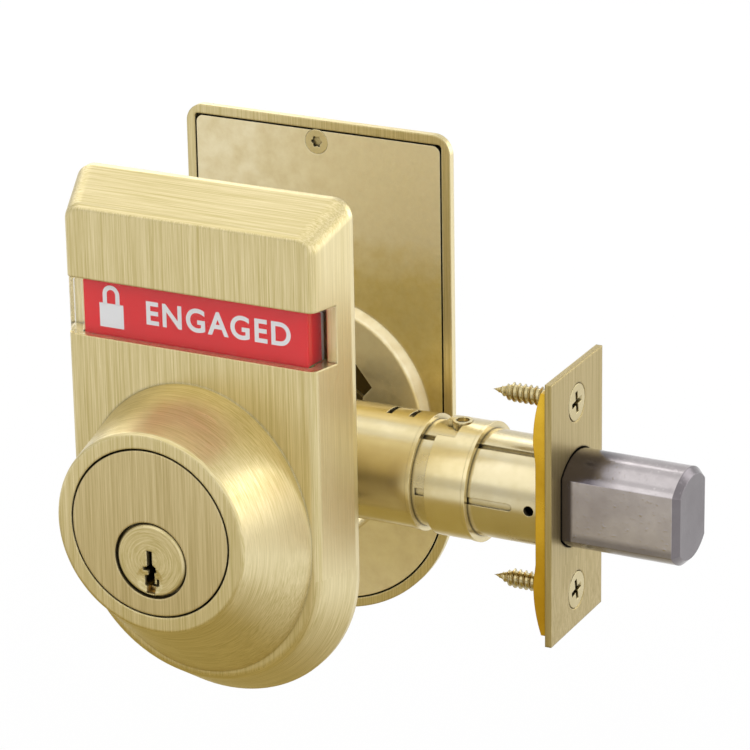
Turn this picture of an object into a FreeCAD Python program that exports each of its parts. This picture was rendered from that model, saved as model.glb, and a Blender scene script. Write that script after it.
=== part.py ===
import FreeCAD, Part
import math
import os

# Tubular deadbolt with an outside indicator, mounted around a door that is left out.
# Millimetres. X is the way the bolt is thrown, Y runs from the outside of the door to the
# inside, Z is up. The origin is on the axis of the cross bore, in the door's outside face.

# Door and bolt
DOOR = 44.45
BACKSET = 69.85
THROW = 25.4
SPINDLE_DROP = 5.9

# Clearances
RUN = 0.05
GAP = 0.3
SEAM = 0.1

# Outline shared by both covers
HALF_WIDTH = 31.2
TOP = 65.3
ARC_CENTRE = -15.0
CORNER = 4.0
INNER_CORNER = 0.8
LIP = 1.5

# Outside cover
COVER_DEPTH = 12.2
FRONT_INSET = 3.0
FRONT_TOP_INSET = 5.2
FRONT_ARC_RISE = 4.0
COVER_WALL = 2.2
EDGE_ROUND = 1.8
CONE_BASE_INSET = 1.4
CONE_BASE_TOP = 25.5
CONE_FRONT_R = 21.3
CONE_DEPTH = 18.6
CONE_EDGE_ROUND = 0.8
SLEEVE_WALL = 1.2
CORE_DEPTH = 10.0

# Window
WINDOW_HEIGHT = 12.3
WINDOW_WRAP = 6.6

# Cylinder and plug
CYLINDER_R = 17.7
CYLINDER_RING = 0.45
FLANGE_STEP = 1.55
FLANGE_THICK = 1.6
CYLINDER_BACK = -5.0
EAR_OUT = 2.4
EAR_R = 2.6
EAR_HEAD = 1.3
EAR_HEAD_SLOT = 0.6
EAR_SLOT_HALF = 0.35
PLUG_FACE_R = 7.8
PLUG_FACE_DEPTH = 2.1
PLUG_R = 6.5
PLUG_TAIL_R = 5.6
PLUG_TAIL_END = -3.7
CLIP_GROOVE_R = 5.0
CLIP_R = 7.4
CLIP_THICK = 0.6
KEYWAY_TOP = 2.1
KEYWAY_BOTTOM = -7.3
KEYWAY_END = -6.2
DIMPLE_SPHERE_R = 8.0
DIMPLE_DEEP = 0.6
DIMPLE_X = -0.4
DIMPLE_Z = -4.3
PLUG_FACE_BEVEL = 0.5
PIN_COUNT = 5
PIN_PITCH = 3.9
FIRST_PIN = 4.1
PIN_R = 1.4
PIN_BORE_LOW = -0.9
PIN_TIP_R = 0.5
SPRING_WALL = 0.4
BOTTOM_PIN_MEAN = 4.9
BOTTOM_PIN_STEP = 0.45
DRIVER_LENGTH = 4.2
CHAMBER_TOP = 13.5
CAP_THICK = 1.6
CAP_HALF = 1.8

# Stud on the plug and its arc slot in the pinion
STUD_R = 0.8
STUD_RADIUS = 4.6
STUD_SPAN_BACK = 180.0
STUD_SPAN_FORWARD = 90.0
STUD_MARGIN = 2.0

# Rack and pinion
MODULE = 1.0
PINION_TEETH = 16
PRESSURE_ANGLE = math.radians(20.0)
BACKLASH = 0.16
GEAR_BACK = -1.5
GEAR_THICK = 1.6
RACK_BACK_X = 11.2
RACK_TEETH = 8
RACK_TEETH_ABOVE = 2
RACK_FOOT = 0.6

# Indicator slide
SLIDE_SIDE_GAP = 0.6
SLIDE_SLEEVE_GAP = 0.35
SLIDE_WALL = 1.25
SIGN_THICK = 0.25
SIGN_SIDE = 5.0
SLIDE_WEB = 1.5
SLIDE_SIDE_BACK = -3.4
GUIDE_DEPTH = 4.0
GUIDE_SPARE = 0.2

# Outside back plate
BACK_PLATE_THICK = 1.2
BACK_SCREW_SIDE_INSET = 13.0
BACK_SCREW_TOP_INSET = 5.1
BACK_SCREW_ARC_INSET = 7.9
BACK_SCREW_ANGLE = math.radians(58.8)
SMALL_SCREW_R = 1.2
SMALL_HEAD_R = 2.2
SMALL_SCREW_LENGTH = 5.0
SMALL_BOSS_R = 2.2
SMALL_HEAD_DEPTH = 0.9

# Tailpiece and through bolts
TAIL_WIDE = 5.2
TAIL_THICK = 2.0
TAIL_HOLE_R = 3.6
THROUGH_X = 16.1
THROUGH_R = 2.4
THROUGH_DEPTH = 8.5
THROUGH_HEAD_R = 4.4
THROUGH_DOME_R = 7.0
THROUGH_DOME = 0.8
THROUGH_SPARE = 1.0
THROUGH_BOSS_R = 3.3
INSIDE_BOSS_R = 4.3

# Bolt housing
REAR_END = 37.7
REAR_WALL = 1.0
CASE_FLAT = 7.0
CASE_SPARE = 0.65
CASE_FRONT = 19.0
CASE_SLOT_HALF = 4.6
TONGUE_FIRST = 9.6
TONGUE_LAST = 4.5
TONGUE_SLOT_WIDE = 1.2
TONGUE_SLOT_LOW = -1.5
TONGUE_SLOT_HIGH = 3.5
TONGUE_SLIT = 0.3
REAR_BEAD = 0.9
BEAD_PROUD = 0.15
FRONT_R = 11.2
FRONT_WALL = 0.92
FRONT_OVERLAP = 7.7
COLLAR_THICK = 1.3
COLLAR_SPACE = 3.5
COLLAR_LENGTH = 9.2
COLLAR_BEAD = 0.8
COLLAR_NOTCH = 4.0
NOTCH_LOW = -5.8
NOTCH_HIGH = -0.8
RIVET_R = 2.1
RIVET_INSET = 3.1
RIVET_PROUD = 0.2
RIVET_BORE_R = 1.4
RIVET_BORE_DEEP = 1.0
GROOVE_SPACE = 0.8
GROOVE_LENGTH = 21.8
GROOVE_WIDE = 1.6
GROOVE_DEEP = 0.45
SEAM_WIDE = 0.6
SEAM_LAND = 2.0
SEAM_Z = 9.9
PORT_INSET = 5.75
PORT_R = 1.1

# Bolt
BOLT_RUN = 0.08
BOLT_FLAT = 7.75
BOLT_REAR = 45.5
BOLT_CHAMFER = 1.3
BOLT_HOLE_SPARE = 0.3
ROLLER_R = 3.2
ROLLER_START = 58.0
ROLLER_LENGTH = 30.0
ROLLER_BEVEL = 0.4
TAIL_BAR_HALF = 1.9
TAIL_BAR_LOW = 1.0
TAIL_BAR_HIGH = 6.4
TAIL_BAR_SEAT = 10.0
FORK_TOP = 12.5
FORK_PRONG = 3.2
FORK_SPARE = 0.65
TAIL_RIVET_R = 1.5

# Crank
CRANK_START = math.radians(45.0)
CRANK_PIN_R = 1.5
CRANK_EYE_R = 2.6
CRANK_HUB_R = 4.3
CRANK_JOURNAL_R = 3.8
CRANK_ARM_IN = 2.6
CRANK_ARM_OUT = 3.8
CRANK_JOURNAL_END = 7.6
CRANK_PIN_END = 4.4

# Door edge plates
PLATE_HIGH = 57.15
PLATE_WIDE = 25.4
PLATE_THICK = 1.4
PLATE_SCREW_PITCH = 41.3
PLATE_SCREW_R = 1.55
PLATE_HEAD_R = 4.2
PLATE_SCREW_LENGTH = 18.4
PLATE_SCREW_TIP = 4.0
PLATE_SCREW_POINT_R = 0.15
BACKING_HALF = 12.2
BACKING_HIGH = 26.4
BACKING_DEEP = 2.8
BACKING_MIDDLE = 2.3
BACKING_END = 1.1
BACKING_STEP_Z = 11.0
BACKING_BULGE_Z = 15.0
BACKING_SAG = 0.35

# Inside cover and plate
INSIDE_DEPTH = 7.0
INSIDE_FRONT_INSET = 2.5
INSIDE_WALL = 2.0
ROSE_BASE_R = 14.0
ROSE_TOP_R = 12.0
ROSE_HEIGHT = 5.0
INNER_PLATE_THICK = 1.2
INNER_PLATE_GAP = 0.4
BOSS_R = 26.0
BOSS_TOP_R = 24.7
BOSS_HEIGHT = 2.2
BOSS_ROUND = 1.0
OPENING_TOP_HALF = 5.5
OPENING_TOP = 17.5
OPENING_TIP_X = 13.2
OPENING_TIP_Z = 7.8
OPENING_HALF = 11.0
OPENING_STEP_Z = 5.3
OPENING_BOTTOM = -14.5
INSIDE_BOSS_DEPTH = 1.0
BUSHING_RING_R = 11.4
BUSHING_RING_INNER_R = 10.0
BUSHING_RING_HIGH = 1.0
COVER_SCREW_INSET = 4.9
COVER_SCREW_R = 1.5
COVER_HEAD_R = 2.75
COVER_HEAD_DEPTH = 0.96
COVER_SCREW_LENGTH = 5.0
COVER_BOSS_R = 3.0

# Thumbturn
SPINDLE_R = 6.0
SPINDLE_REACH = 0.8
BUSHING_R = 7.5
TURN_CLIP_GAP = 0.25
TURN_CLIP_THICK = 0.8
TURN_CLIP_GROOVE_R = 5.2
TURN_CLIP_R = 8.4
TURN_FLANGE_R = 11.5
TURN_FLANGE_THICK = 2.4
TURN_REACH = 15.0
TURN_BASE_LONG = 22.0
TURN_LONG = 34.0
TURN_BASE_WIDE = 9.5
TURN_WIDE = 6.0
TURN_WAIST_WIDE = 7.0
TURN_WAIST = 0.45
TURN_ROOT = 0.5
TURN_EDGE_ROUND = 1.8
TURN_FLANGE_ROUND = 0.8
CLIP_MOUTH = 0.5

# Places worked out from the sizes above
MID = DOOR / 2.0
FRONT_HALF = HALF_WIDTH - FRONT_INSET
FRONT_TOP = TOP - FRONT_TOP_INSET
FRONT_ARC_CENTRE = ARC_CENTRE + FRONT_ARC_RISE
CONE_BASE_R = FRONT_HALF - CONE_BASE_INSET
CONE_BASE_LOW = FRONT_ARC_CENTRE - CONE_BASE_R
FLANGE_R = CYLINDER_R + FLANGE_STEP
EAR_X = FLANGE_R + EAR_OUT
SLEEVE_R = CYLINDER_R + CYLINDER_RING + SLEEVE_WALL
FACE_Y = -(COVER_DEPTH + CONE_DEPTH)
SPINDLE_Z = -SPINDLE_DROP
SLEEVE_BACK = CYLINDER_BACK - FLANGE_THICK
PITCH_R = MODULE * PINION_TEETH / 2.0
TRAVEL = PITCH_R * math.pi / 2.0
CRANK_R = THROW / (2.0 * math.sin(CRANK_START))
FORK_X = CRANK_R * math.cos(CRANK_START)
FORK_LOW = SPINDLE_Z + CRANK_R * math.sin(CRANK_START) - CRANK_PIN_R - FORK_SPARE
COVER_INNER_Y = -(COVER_DEPTH - COVER_WALL)
CORE_FRONT_Y = -(COVER_DEPTH + CORE_DEPTH)
SIGN_Y = COVER_INNER_Y + GAP
SLIDE_Y = SIGN_Y + SIGN_THICK
SLIDE_HALF = FRONT_HALF - COVER_WALL - SLIDE_SIDE_GAP
SLIDE_BOTTOM = SLEEVE_R + SLIDE_SLEEVE_GAP
WINDOW_BOTTOM = SLIDE_BOTTOM + 1.5 * TRAVEL - WINDOW_HEIGHT / 2.0
SLIDE_TOP = SLIDE_BOTTOM + 2.0 * TRAVEL
REAR_R = FRONT_R + REAR_WALL
CASE_BACK = FORK_X - THROW - CRANK_PIN_R - FORK_SPARE - FORK_PRONG - REAR_WALL - CASE_SPARE
FRONT_START = REAR_END - FRONT_OVERLAP
COLLAR_R = FRONT_R + COLLAR_THICK
COLLAR_START = REAR_END + COLLAR_SPACE
RIVET_X = COLLAR_START + RIVET_INSET
GROOVE_X = REAR_END + GROOVE_SPACE
PORT_X = BACKSET - PORT_INSET
BOLT_R = FRONT_R - FRONT_WALL - BOLT_RUN
COVER_SCREW_TOP = TOP - COVER_SCREW_INSET
COVER_SCREW_LOW = ARC_CENTRE - HALF_WIDTH + COVER_SCREW_INSET
INSIDE_FACE = DOOR + INSIDE_DEPTH
ROSE_FACE = INSIDE_FACE + ROSE_HEIGHT
BLADE_END = ROSE_FACE - GAP
TURN_CLIP_START = INSIDE_FACE - INSIDE_WALL - TURN_CLIP_GAP - TURN_CLIP_THICK
SPINDLE_START = TURN_CLIP_START - SPINDLE_REACH

Y_AXIS = FreeCAD.Vector(0, 1, 0)
X_AXIS = FreeCAD.Vector(1, 0, 0)


def vec(x, y, z):
    return FreeCAD.Vector(x, y, z)


def box(x0, x1, y0, y1, z0, z1):
    return Part.makeBox(x1 - x0, y1 - y0, z1 - z0, vec(x0, y0, z0))


def rod_y(radius, y0, y1, x=0.0, z=0.0):
    return Part.makeCylinder(radius, y1 - y0, vec(x, y0, z), Y_AXIS)


def rod_x(radius, x0, x1, y=MID, z=0.0):
    return Part.makeCylinder(radius, x1 - x0, vec(x0, y, z), X_AXIS)


def cone_y(r0, r1, y0, y1, x=0.0, z=0.0):
    return Part.makeCone(r0, r1, y1 - y0, vec(x, y0, z), Y_AXIS)


def oval_y(half_x, low, high, y):
    """Ellipse in the plane at y, half_x to each side and from low to high."""
    middle = (low + high) / 2.0
    tall = (high - low) / 2.0
    top = vec(0, y, high)
    side = vec(half_x, y, middle)
    if tall > half_x:
        ellipse = Part.Ellipse(top, side, vec(0, y, middle))
    else:
        ellipse = Part.Ellipse(side, top, vec(0, y, middle))
    return Part.Wire(ellipse.toShape())


def loft(wires):
    return Part.makeLoft(wires, True, True)


def polygon_y(points, y0, y1):
    """Prism along Y over a closed outline of (x, z) points."""
    corners = [vec(x, y0, z) for x, z in points]
    face = Part.Face(Part.makePolygon(corners + corners[:1]))
    return face.extrude(vec(0, y1 - y0, 0))


def outline(half, top, arc_z, corner, y):
    """Round-bottomed cover outline in the plane at y."""
    lean = corner * math.sqrt(0.5)
    low_left = vec(-half, y, arc_z)
    high_left = vec(-half, y, top - corner)
    top_left = vec(-half + corner, y, top)
    top_right = vec(half - corner, y, top)
    high_right = vec(half, y, top - corner)
    low_right = vec(half, y, arc_z)
    left_corner = vec(-half + corner - lean, y, top - corner + lean)
    right_corner = vec(half - corner + lean, y, top - corner + lean)
    edges = [
        Part.LineSegment(low_left, high_left).toShape(),
        Part.Arc(high_left, left_corner, top_left).toShape(),
        Part.LineSegment(top_left, top_right).toShape(),
        Part.Arc(top_right, right_corner, high_right).toShape(),
        Part.LineSegment(high_right, low_right).toShape(),
        Part.Arc(low_right, vec(0, y, arc_z - half), low_left).toShape(),
    ]
    return Part.Wire(edges)


def edges_in_plane_y(shape, y):
    found = []
    for edge in shape.Edges:
        bound = edge.BoundBox
        if abs(bound.YMin - y) < 1e-4 and abs(bound.YMax - y) < 1e-4:
            found.append(edge)
    return found


def cover_shell(sign, face, depth, wall, front):
    """Outer and inner solids of a cover that stands off the door by depth, towards sign."""
    front_half, front_top, front_arc = front
    inner_depth = depth - wall
    outer = loft([
        outline(HALF_WIDTH, TOP, ARC_CENTRE, CORNER, face),
        outline(HALF_WIDTH, TOP, ARC_CENTRE, CORNER, face + sign * LIP),
        outline(front_half, front_top, front_arc, CORNER, face + sign * depth),
    ])
    outer = outer.makeFillet(EDGE_ROUND, edges_in_plane_y(outer, face + sign * depth))
    inner = loft([
        outline(HALF_WIDTH - wall, TOP - wall, ARC_CENTRE, INNER_CORNER, face),
        outline(HALF_WIDTH - wall, TOP - wall, ARC_CENTRE, INNER_CORNER, face + sign * LIP),
        outline(front_half - wall, front_top - wall, front_arc, INNER_CORNER,
                face + sign * inner_depth),
    ])
    return outer, inner


def cover_outer():
    front = (FRONT_HALF, FRONT_TOP, FRONT_ARC_CENTRE)
    return cover_shell(-1, 0.0, COVER_DEPTH, COVER_WALL, front)


def through_places():
    return [(-THROUGH_X, THROUGH_X), (THROUGH_X, -THROUGH_X)]


def back_screw_places():
    top_x = HALF_WIDTH - BACK_SCREW_SIDE_INSET
    top_z = TOP - BACK_SCREW_TOP_INSET
    arc_r = HALF_WIDTH - BACK_SCREW_ARC_INSET
    low_x = arc_r * math.cos(BACK_SCREW_ANGLE)
    low_z = ARC_CENTRE - arc_r * math.sin(BACK_SCREW_ANGLE)
    return [(side * x, z) for x, z in ((top_x, top_z), (low_x, low_z)) for side in (-1, 1)]


def cone_section(depth, inset):
    """Outline of the collar at a depth in front of the cover's face, drawn in by inset."""
    share = depth / CONE_DEPTH
    half = CONE_BASE_R + share * (CONE_FRONT_R - CONE_BASE_R)
    low = CONE_BASE_LOW + share * (-CONE_FRONT_R - CONE_BASE_LOW)
    high = CONE_BASE_TOP + share * (CONE_FRONT_R - CONE_BASE_TOP)
    return oval_y(half - inset, low + inset, high - inset, -COVER_DEPTH - depth)


def escutcheon():
    outer, inner = cover_outer()
    collar = loft([cone_section(0.0, 0.0), cone_section(CONE_DEPTH, 0.0)])
    collar = collar.makeFillet(CONE_EDGE_ROUND, edges_in_plane_y(collar, FACE_Y))
    filled = outer.fuse(collar).removeSplitter()
    core = loft([cone_section(-COVER_WALL, COVER_WALL), cone_section(CORE_DEPTH, COVER_WALL)])
    hollow = inner.fuse(core).cut(rod_y(SLEEVE_R, FACE_Y, SLEEVE_BACK))
    body = filled.cut(hollow)
    bosses = []
    for x, z in through_places():
        bosses.append(rod_y(THROUGH_BOSS_R, CORE_FRONT_Y, -BACK_PLATE_THICK, x, z))
    for side in (-1, 1):
        bosses.append(rod_y(EAR_R, CORE_FRONT_Y, SLEEVE_BACK, side * EAR_X))
        wall_x = HALF_WIDTH - COVER_WALL / 2.0
        inside_x = SLIDE_HALF + SIGN_THICK + GUIDE_SPARE
        low_x, high_x = sorted((side * inside_x, side * wall_x))
        guide_y = SLIDE_SIDE_BACK - GUIDE_DEPTH
        window_top = WINDOW_BOTTOM + WINDOW_HEIGHT
        bosses.append(box(low_x, high_x, guide_y, SLIDE_SIDE_BACK,
                          SLIDE_BOTTOM, WINDOW_BOTTOM - SEAM))
        bosses.append(box(low_x, high_x, guide_y, SLIDE_SIDE_BACK,
                          window_top + SEAM, SLIDE_TOP + TRAVEL))
    for x, z in back_screw_places():
        bosses.append(rod_y(SMALL_BOSS_R, CORE_FRONT_Y, -BACK_PLATE_THICK, x, z))
    for boss in bosses:
        body = body.fuse(boss.common(filled))
    for x, z in through_places():
        body = body.cut(rod_y(THROUGH_R, -THROUGH_DEPTH - THROUGH_SPARE, 0.0, x, z))
    for side in (-1, 1):
        body = body.cut(rod_y(SMALL_SCREW_R, SLEEVE_BACK - SMALL_SCREW_LENGTH, 0.0, side * EAR_X))
    for x, z in back_screw_places():
        body = body.cut(rod_y(SMALL_SCREW_R, -SMALL_SCREW_LENGTH, 0.0, x, z))
    body = body.cut(rod_y(CYLINDER_R + CYLINDER_RING, FACE_Y - 1.0, SLEEVE_BACK))
    window = box(-HALF_WIDTH, HALF_WIDTH, -COVER_DEPTH, -COVER_DEPTH + WINDOW_WRAP,
                 WINDOW_BOTTOM, WINDOW_BOTTOM + WINDOW_HEIGHT)
    return body.cut(window)


def window_lens():
    outer, inner = cover_outer()
    slot = box(-HALF_WIDTH, HALF_WIDTH, -COVER_DEPTH, -COVER_DEPTH + WINDOW_WRAP,
               WINDOW_BOTTOM, WINDOW_BOTTOM + WINDOW_HEIGHT - SEAM)
    return outer.common(slot).cut(inner)


def rack_outline():
    """Closed (x, z) outline of the rack's toothed leg, in mesh with the pinion at rest."""
    pitch = MODULE * math.pi
    half = pitch / 4.0 - BACKLASH / 4.0
    slope = math.tan(PRESSURE_ANGLE)
    tip_x = PITCH_R - MODULE
    root_x = PITCH_R + 1.25 * MODULE
    first = SPINDLE_Z + (RACK_TEETH_ABOVE - RACK_TEETH + 0.5) * pitch
    points = []
    for index in range(RACK_TEETH):
        centre = first + index * pitch
        tip = half - MODULE * slope
        root = half + 1.25 * MODULE * slope
        points.append((root_x, centre - root))
        points.append((tip_x, centre - tip))
        points.append((tip_x, centre + tip))
        points.append((root_x, centre + root))
    low = first - pitch * RACK_FOOT
    return [(root_x, low)] + points + [
        (root_x, SLIDE_BOTTOM),
        (RACK_BACK_X, SLIDE_BOTTOM),
        (RACK_BACK_X, low),
    ]


def indicator_slide():
    panel = box(-SLIDE_HALF, SLIDE_HALF, SLIDE_Y, SLIDE_Y + SLIDE_WALL, SLIDE_BOTTOM, SLIDE_TOP)
    inside = SLIDE_HALF - SLIDE_WALL
    slide = panel
    for side in (-1, 1):
        low_x, high_x = sorted((side * inside, side * SLIDE_HALF))
        flange = box(low_x, high_x, SLIDE_Y, SLIDE_SIDE_BACK, SLIDE_BOTTOM, SLIDE_TOP)
        slide = slide.fuse(flange)
    for z in (SLIDE_BOTTOM + TRAVEL, SLIDE_TOP - SLIDE_WEB):
        slide = slide.fuse(box(-inside, inside, SLIDE_Y, SLIDE_SIDE_BACK, z, z + SLIDE_WEB))
    gear_front = GEAR_BACK - GEAR_THICK
    root_x = PITCH_R + 1.25 * MODULE
    web = box(-inside, inside, SLIDE_Y, gear_front, SLIDE_BOTTOM, SLIDE_BOTTOM + SLIDE_WEB)
    foot = box(root_x, RACK_BACK_X, gear_front, GEAR_BACK, SLIDE_BOTTOM,
               SLIDE_BOTTOM + TRAVEL)
    brace = box(root_x, RACK_BACK_X, SLIDE_Y, gear_front, SLIDE_BOTTOM, SLIDE_BOTTOM + TRAVEL)
    rack = polygon_y(rack_outline(), gear_front, GEAR_BACK)
    return slide.fuse([web, foot, brace, rack]).removeSplitter()


def sign(low):
    """A sign field wraps the slide's front and both of its sides."""
    reach = SLIDE_HALF + SIGN_THICK
    high = low + TRAVEL
    wrap = box(-reach, reach, SIGN_Y, SIGN_Y + SIGN_SIDE, low, high)
    return wrap.cut(box(-SLIDE_HALF, SLIDE_HALF, SLIDE_Y, 0.0, low, high))


def back_plate():
    inset = COVER_WALL + SEAM
    plate = loft([
        outline(HALF_WIDTH - inset, TOP - inset, ARC_CENTRE, CORNER - inset,
                -BACK_PLATE_THICK),
        outline(HALF_WIDTH - inset, TOP - inset, ARC_CENTRE, CORNER - inset, 0.0),
    ])
    plate = plate.cut(rod_y(TAIL_HOLE_R, -BACK_PLATE_THICK, 0.0, 0.0, SPINDLE_Z))
    for x, z in through_places():
        plate = plate.cut(rod_y(THROUGH_R + GAP, -BACK_PLATE_THICK, 0.0, x, z))
    for x, z in back_screw_places():
        plate = plate.cut(rod_y(SMALL_SCREW_R + GAP, -BACK_PLATE_THICK, 0.0, x, z))
        plate = plate.cut(small_head(x, z, 0.0))
    return plate


def small_head(x, z, y):
    """Countersunk head whose flat top is at y and which narrows towards the outside."""
    low_r = SMALL_HEAD_R - SMALL_HEAD_DEPTH
    return cone_y(low_r, SMALL_HEAD_R, y - SMALL_HEAD_DEPTH, y, x, z)


def back_plate_screws():
    screws = []
    for x, z in back_screw_places():
        shank = rod_y(SMALL_SCREW_R, -SMALL_SCREW_LENGTH + GAP, -SEAM, x, z)
        screws.append(shank.fuse(small_head(x, z, 0.0)))
    return Part.makeCompound(screws)


def pin_places():
    return [FACE_Y + FIRST_PIN + index * PIN_PITCH for index in range(PIN_COUNT)]


def cylinder_body():
    body = rod_y(CYLINDER_R, FACE_Y, SLEEVE_BACK)
    body = body.fuse(rod_y(FLANGE_R, SLEEVE_BACK, CYLINDER_BACK))
    for side in (-1, 1):
        ear = rod_y(EAR_R, SLEEVE_BACK, CYLINDER_BACK, side * EAR_X)
        low_x, high_x = sorted((side * CYLINDER_R, side * EAR_X))
        body = body.fuse([ear, box(low_x, high_x, SLEEVE_BACK, CYLINDER_BACK, -EAR_R, EAR_R)])
        body = body.cut(rod_y(SMALL_SCREW_R + GAP, SLEEVE_BACK, CYLINDER_BACK, side * EAR_X))
    face_back = FACE_Y + PLUG_FACE_DEPTH
    body = body.cut(rod_y(PLUG_FACE_R + CYLINDER_RING, FACE_Y, face_back + RUN, 0, SPINDLE_Z))
    body = body.cut(rod_y(PLUG_R + RUN, FACE_Y, CYLINDER_BACK, 0, SPINDLE_Z))
    for y in pin_places():
        chamber = Part.makeCylinder(PIN_R + RUN, CHAMBER_TOP - SPINDLE_Z, vec(0, y, SPINDLE_Z))
        body = body.cut(chamber)
    cap_slot = box(-CAP_HALF, CAP_HALF, FACE_Y + PLUG_FACE_DEPTH, CYLINDER_BACK,
                   CHAMBER_TOP, FLANGE_R)
    return body.cut(cap_slot).removeSplitter()


def chamber_cap():
    return box(-CAP_HALF + RUN, CAP_HALF - RUN, FACE_Y + PLUG_FACE_DEPTH + SEAM,
               CYLINDER_BACK - SEAM, CHAMBER_TOP, CHAMBER_TOP + CAP_THICK)


def cylinder_screws():
    screws = []
    for side in (-1, 1):
        x = side * EAR_X
        shank = rod_y(SMALL_SCREW_R, SLEEVE_BACK - SMALL_SCREW_LENGTH + GAP, CYLINDER_BACK, x)
        top = CYLINDER_BACK + EAR_HEAD
        head = rod_y(SMALL_HEAD_R, CYLINDER_BACK, top, x)
        slot = box(x - SMALL_HEAD_R, x + SMALL_HEAD_R, top - EAR_HEAD_SLOT, top,
                   -EAR_SLOT_HALF, EAR_SLOT_HALF)
        screws.append(shank.fuse(head).cut(slot))
    return Part.makeCompound(screws)


def keyway_outline():
    """Paracentric keyway as (x, z) points from the plug's centre."""
    right = [(0.35, KEYWAY_TOP), (0.35, -0.8), (1.1, -1.4), (1.1, -2.5), (0.5, -2.8),
             (0.5, -5.1), (0.95, -5.1), (0.95, -4.0), (1.6, -4.0), (1.6, -5.3), (0.75, -6.0),
             (0.75, KEYWAY_BOTTOM)]
    left = [(-1.3, KEYWAY_BOTTOM), (-1.3, -5.9), (-1.75, -5.7), (-1.75, -3.6), (-0.95, -3.4),
            (-0.95, -2.5), (-1.95, -2.4), (-1.95, -1.6), (-0.95, -1.4), (-0.95, KEYWAY_TOP)]
    return [(x, z + SPINDLE_Z) for x, z in right + left]


def plug():
    face = rod_y(PLUG_FACE_R, FACE_Y, FACE_Y + PLUG_FACE_DEPTH, 0, SPINDLE_Z)
    body = face.makeChamfer(PLUG_FACE_BEVEL, edges_in_plane_y(face, FACE_Y))
    dimple_y = FACE_Y + DIMPLE_DEEP - DIMPLE_SPHERE_R
    body = body.cut(Part.makeSphere(DIMPLE_SPHERE_R, vec(DIMPLE_X, dimple_y, SPINDLE_Z + DIMPLE_Z)))
    body = body.fuse(rod_y(PLUG_R, FACE_Y + PLUG_FACE_DEPTH, CYLINDER_BACK, 0, SPINDLE_Z))
    body = body.fuse(rod_y(PLUG_TAIL_R, CYLINDER_BACK, PLUG_TAIL_END, 0, SPINDLE_Z))
    groove = rod_y(CLIP_R, CYLINDER_BACK + SEAM, CYLINDER_BACK + SEAM + CLIP_THICK, 0, SPINDLE_Z)
    groove = groove.cut(rod_y(CLIP_GROOVE_R, CYLINDER_BACK, 0.0, 0, SPINDLE_Z))
    body = body.cut(groove)
    body = body.cut(polygon_y(keyway_outline(), FACE_Y, KEYWAY_END))
    for y in pin_places():
        body = body.cut(Part.makeCylinder(PIN_R + RUN, 2.0 * PLUG_R, vec(0, y, SPINDLE_Z + PIN_BORE_LOW)))
    stud = rod_y(STUD_R, PLUG_TAIL_END, GEAR_BACK - SEAM, STUD_RADIUS, SPINDLE_Z)
    return body.fuse(stud)


def plug_clip():
    start = CYLINDER_BACK + SEAM
    ring = rod_y(CLIP_R, start, start + CLIP_THICK, 0, SPINDLE_Z)
    ring = ring.cut(rod_y(CLIP_GROOVE_R, start, start + CLIP_THICK, 0, SPINDLE_Z))
    mouth = CLIP_GROOVE_R * CLIP_MOUTH
    return ring.cut(box(-mouth, mouth, start, start + CLIP_THICK, SPINDLE_Z - CLIP_R - 1.0, SPINDLE_Z))


def bottom_pin_length(index):
    return BOTTOM_PIN_MEAN + BOTTOM_PIN_STEP * math.cos(2.4 * index)


def bottom_pins():
    pins = []
    dome = rod_y(PLUG_R, FACE_Y, 0.0, 0, SPINDLE_Z)
    for index, y in enumerate(pin_places()):
        low = SPINDLE_Z + PLUG_R - bottom_pin_length(index)
        tip = PIN_R - PIN_TIP_R
        point = Part.makeCone(PIN_TIP_R, PIN_R, tip, vec(0, y, low))
        shank = Part.makeCylinder(PIN_R, 2.0 * PLUG_R, vec(0, y, low + tip))
        pins.append(point.fuse(shank).common(dome))
    return Part.makeCompound(pins)


def driver_pins():
    pins = []
    dome = rod_y(PLUG_R + 2.0 * RUN, FACE_Y, 0.0, 0, SPINDLE_Z)
    top = SPINDLE_Z + PLUG_R + DRIVER_LENGTH
    for y in pin_places():
        pins.append(Part.makeCylinder(PIN_R, top - SPINDLE_Z, vec(0, y, SPINDLE_Z)).cut(dome))
    return Part.makeCompound(pins)


def pin_springs():
    springs = []
    low = SPINDLE_Z + PLUG_R + DRIVER_LENGTH
    for y in pin_places():
        outer_r = PIN_R - SEAM
        outer = Part.makeCylinder(outer_r, CHAMBER_TOP - low, vec(0, y, low))
        core = Part.makeCylinder(outer_r - SPRING_WALL, CHAMBER_TOP - low, vec(0, y, low))
        springs.append(outer.cut(core))
    return Part.makeCompound(springs)


def involute(base_r, radius):
    """Angle between the start of the involute and where it crosses radius."""
    roll = math.sqrt(max((radius / base_r) ** 2 - 1.0, 0.0))
    return roll - math.atan(roll)


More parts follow.
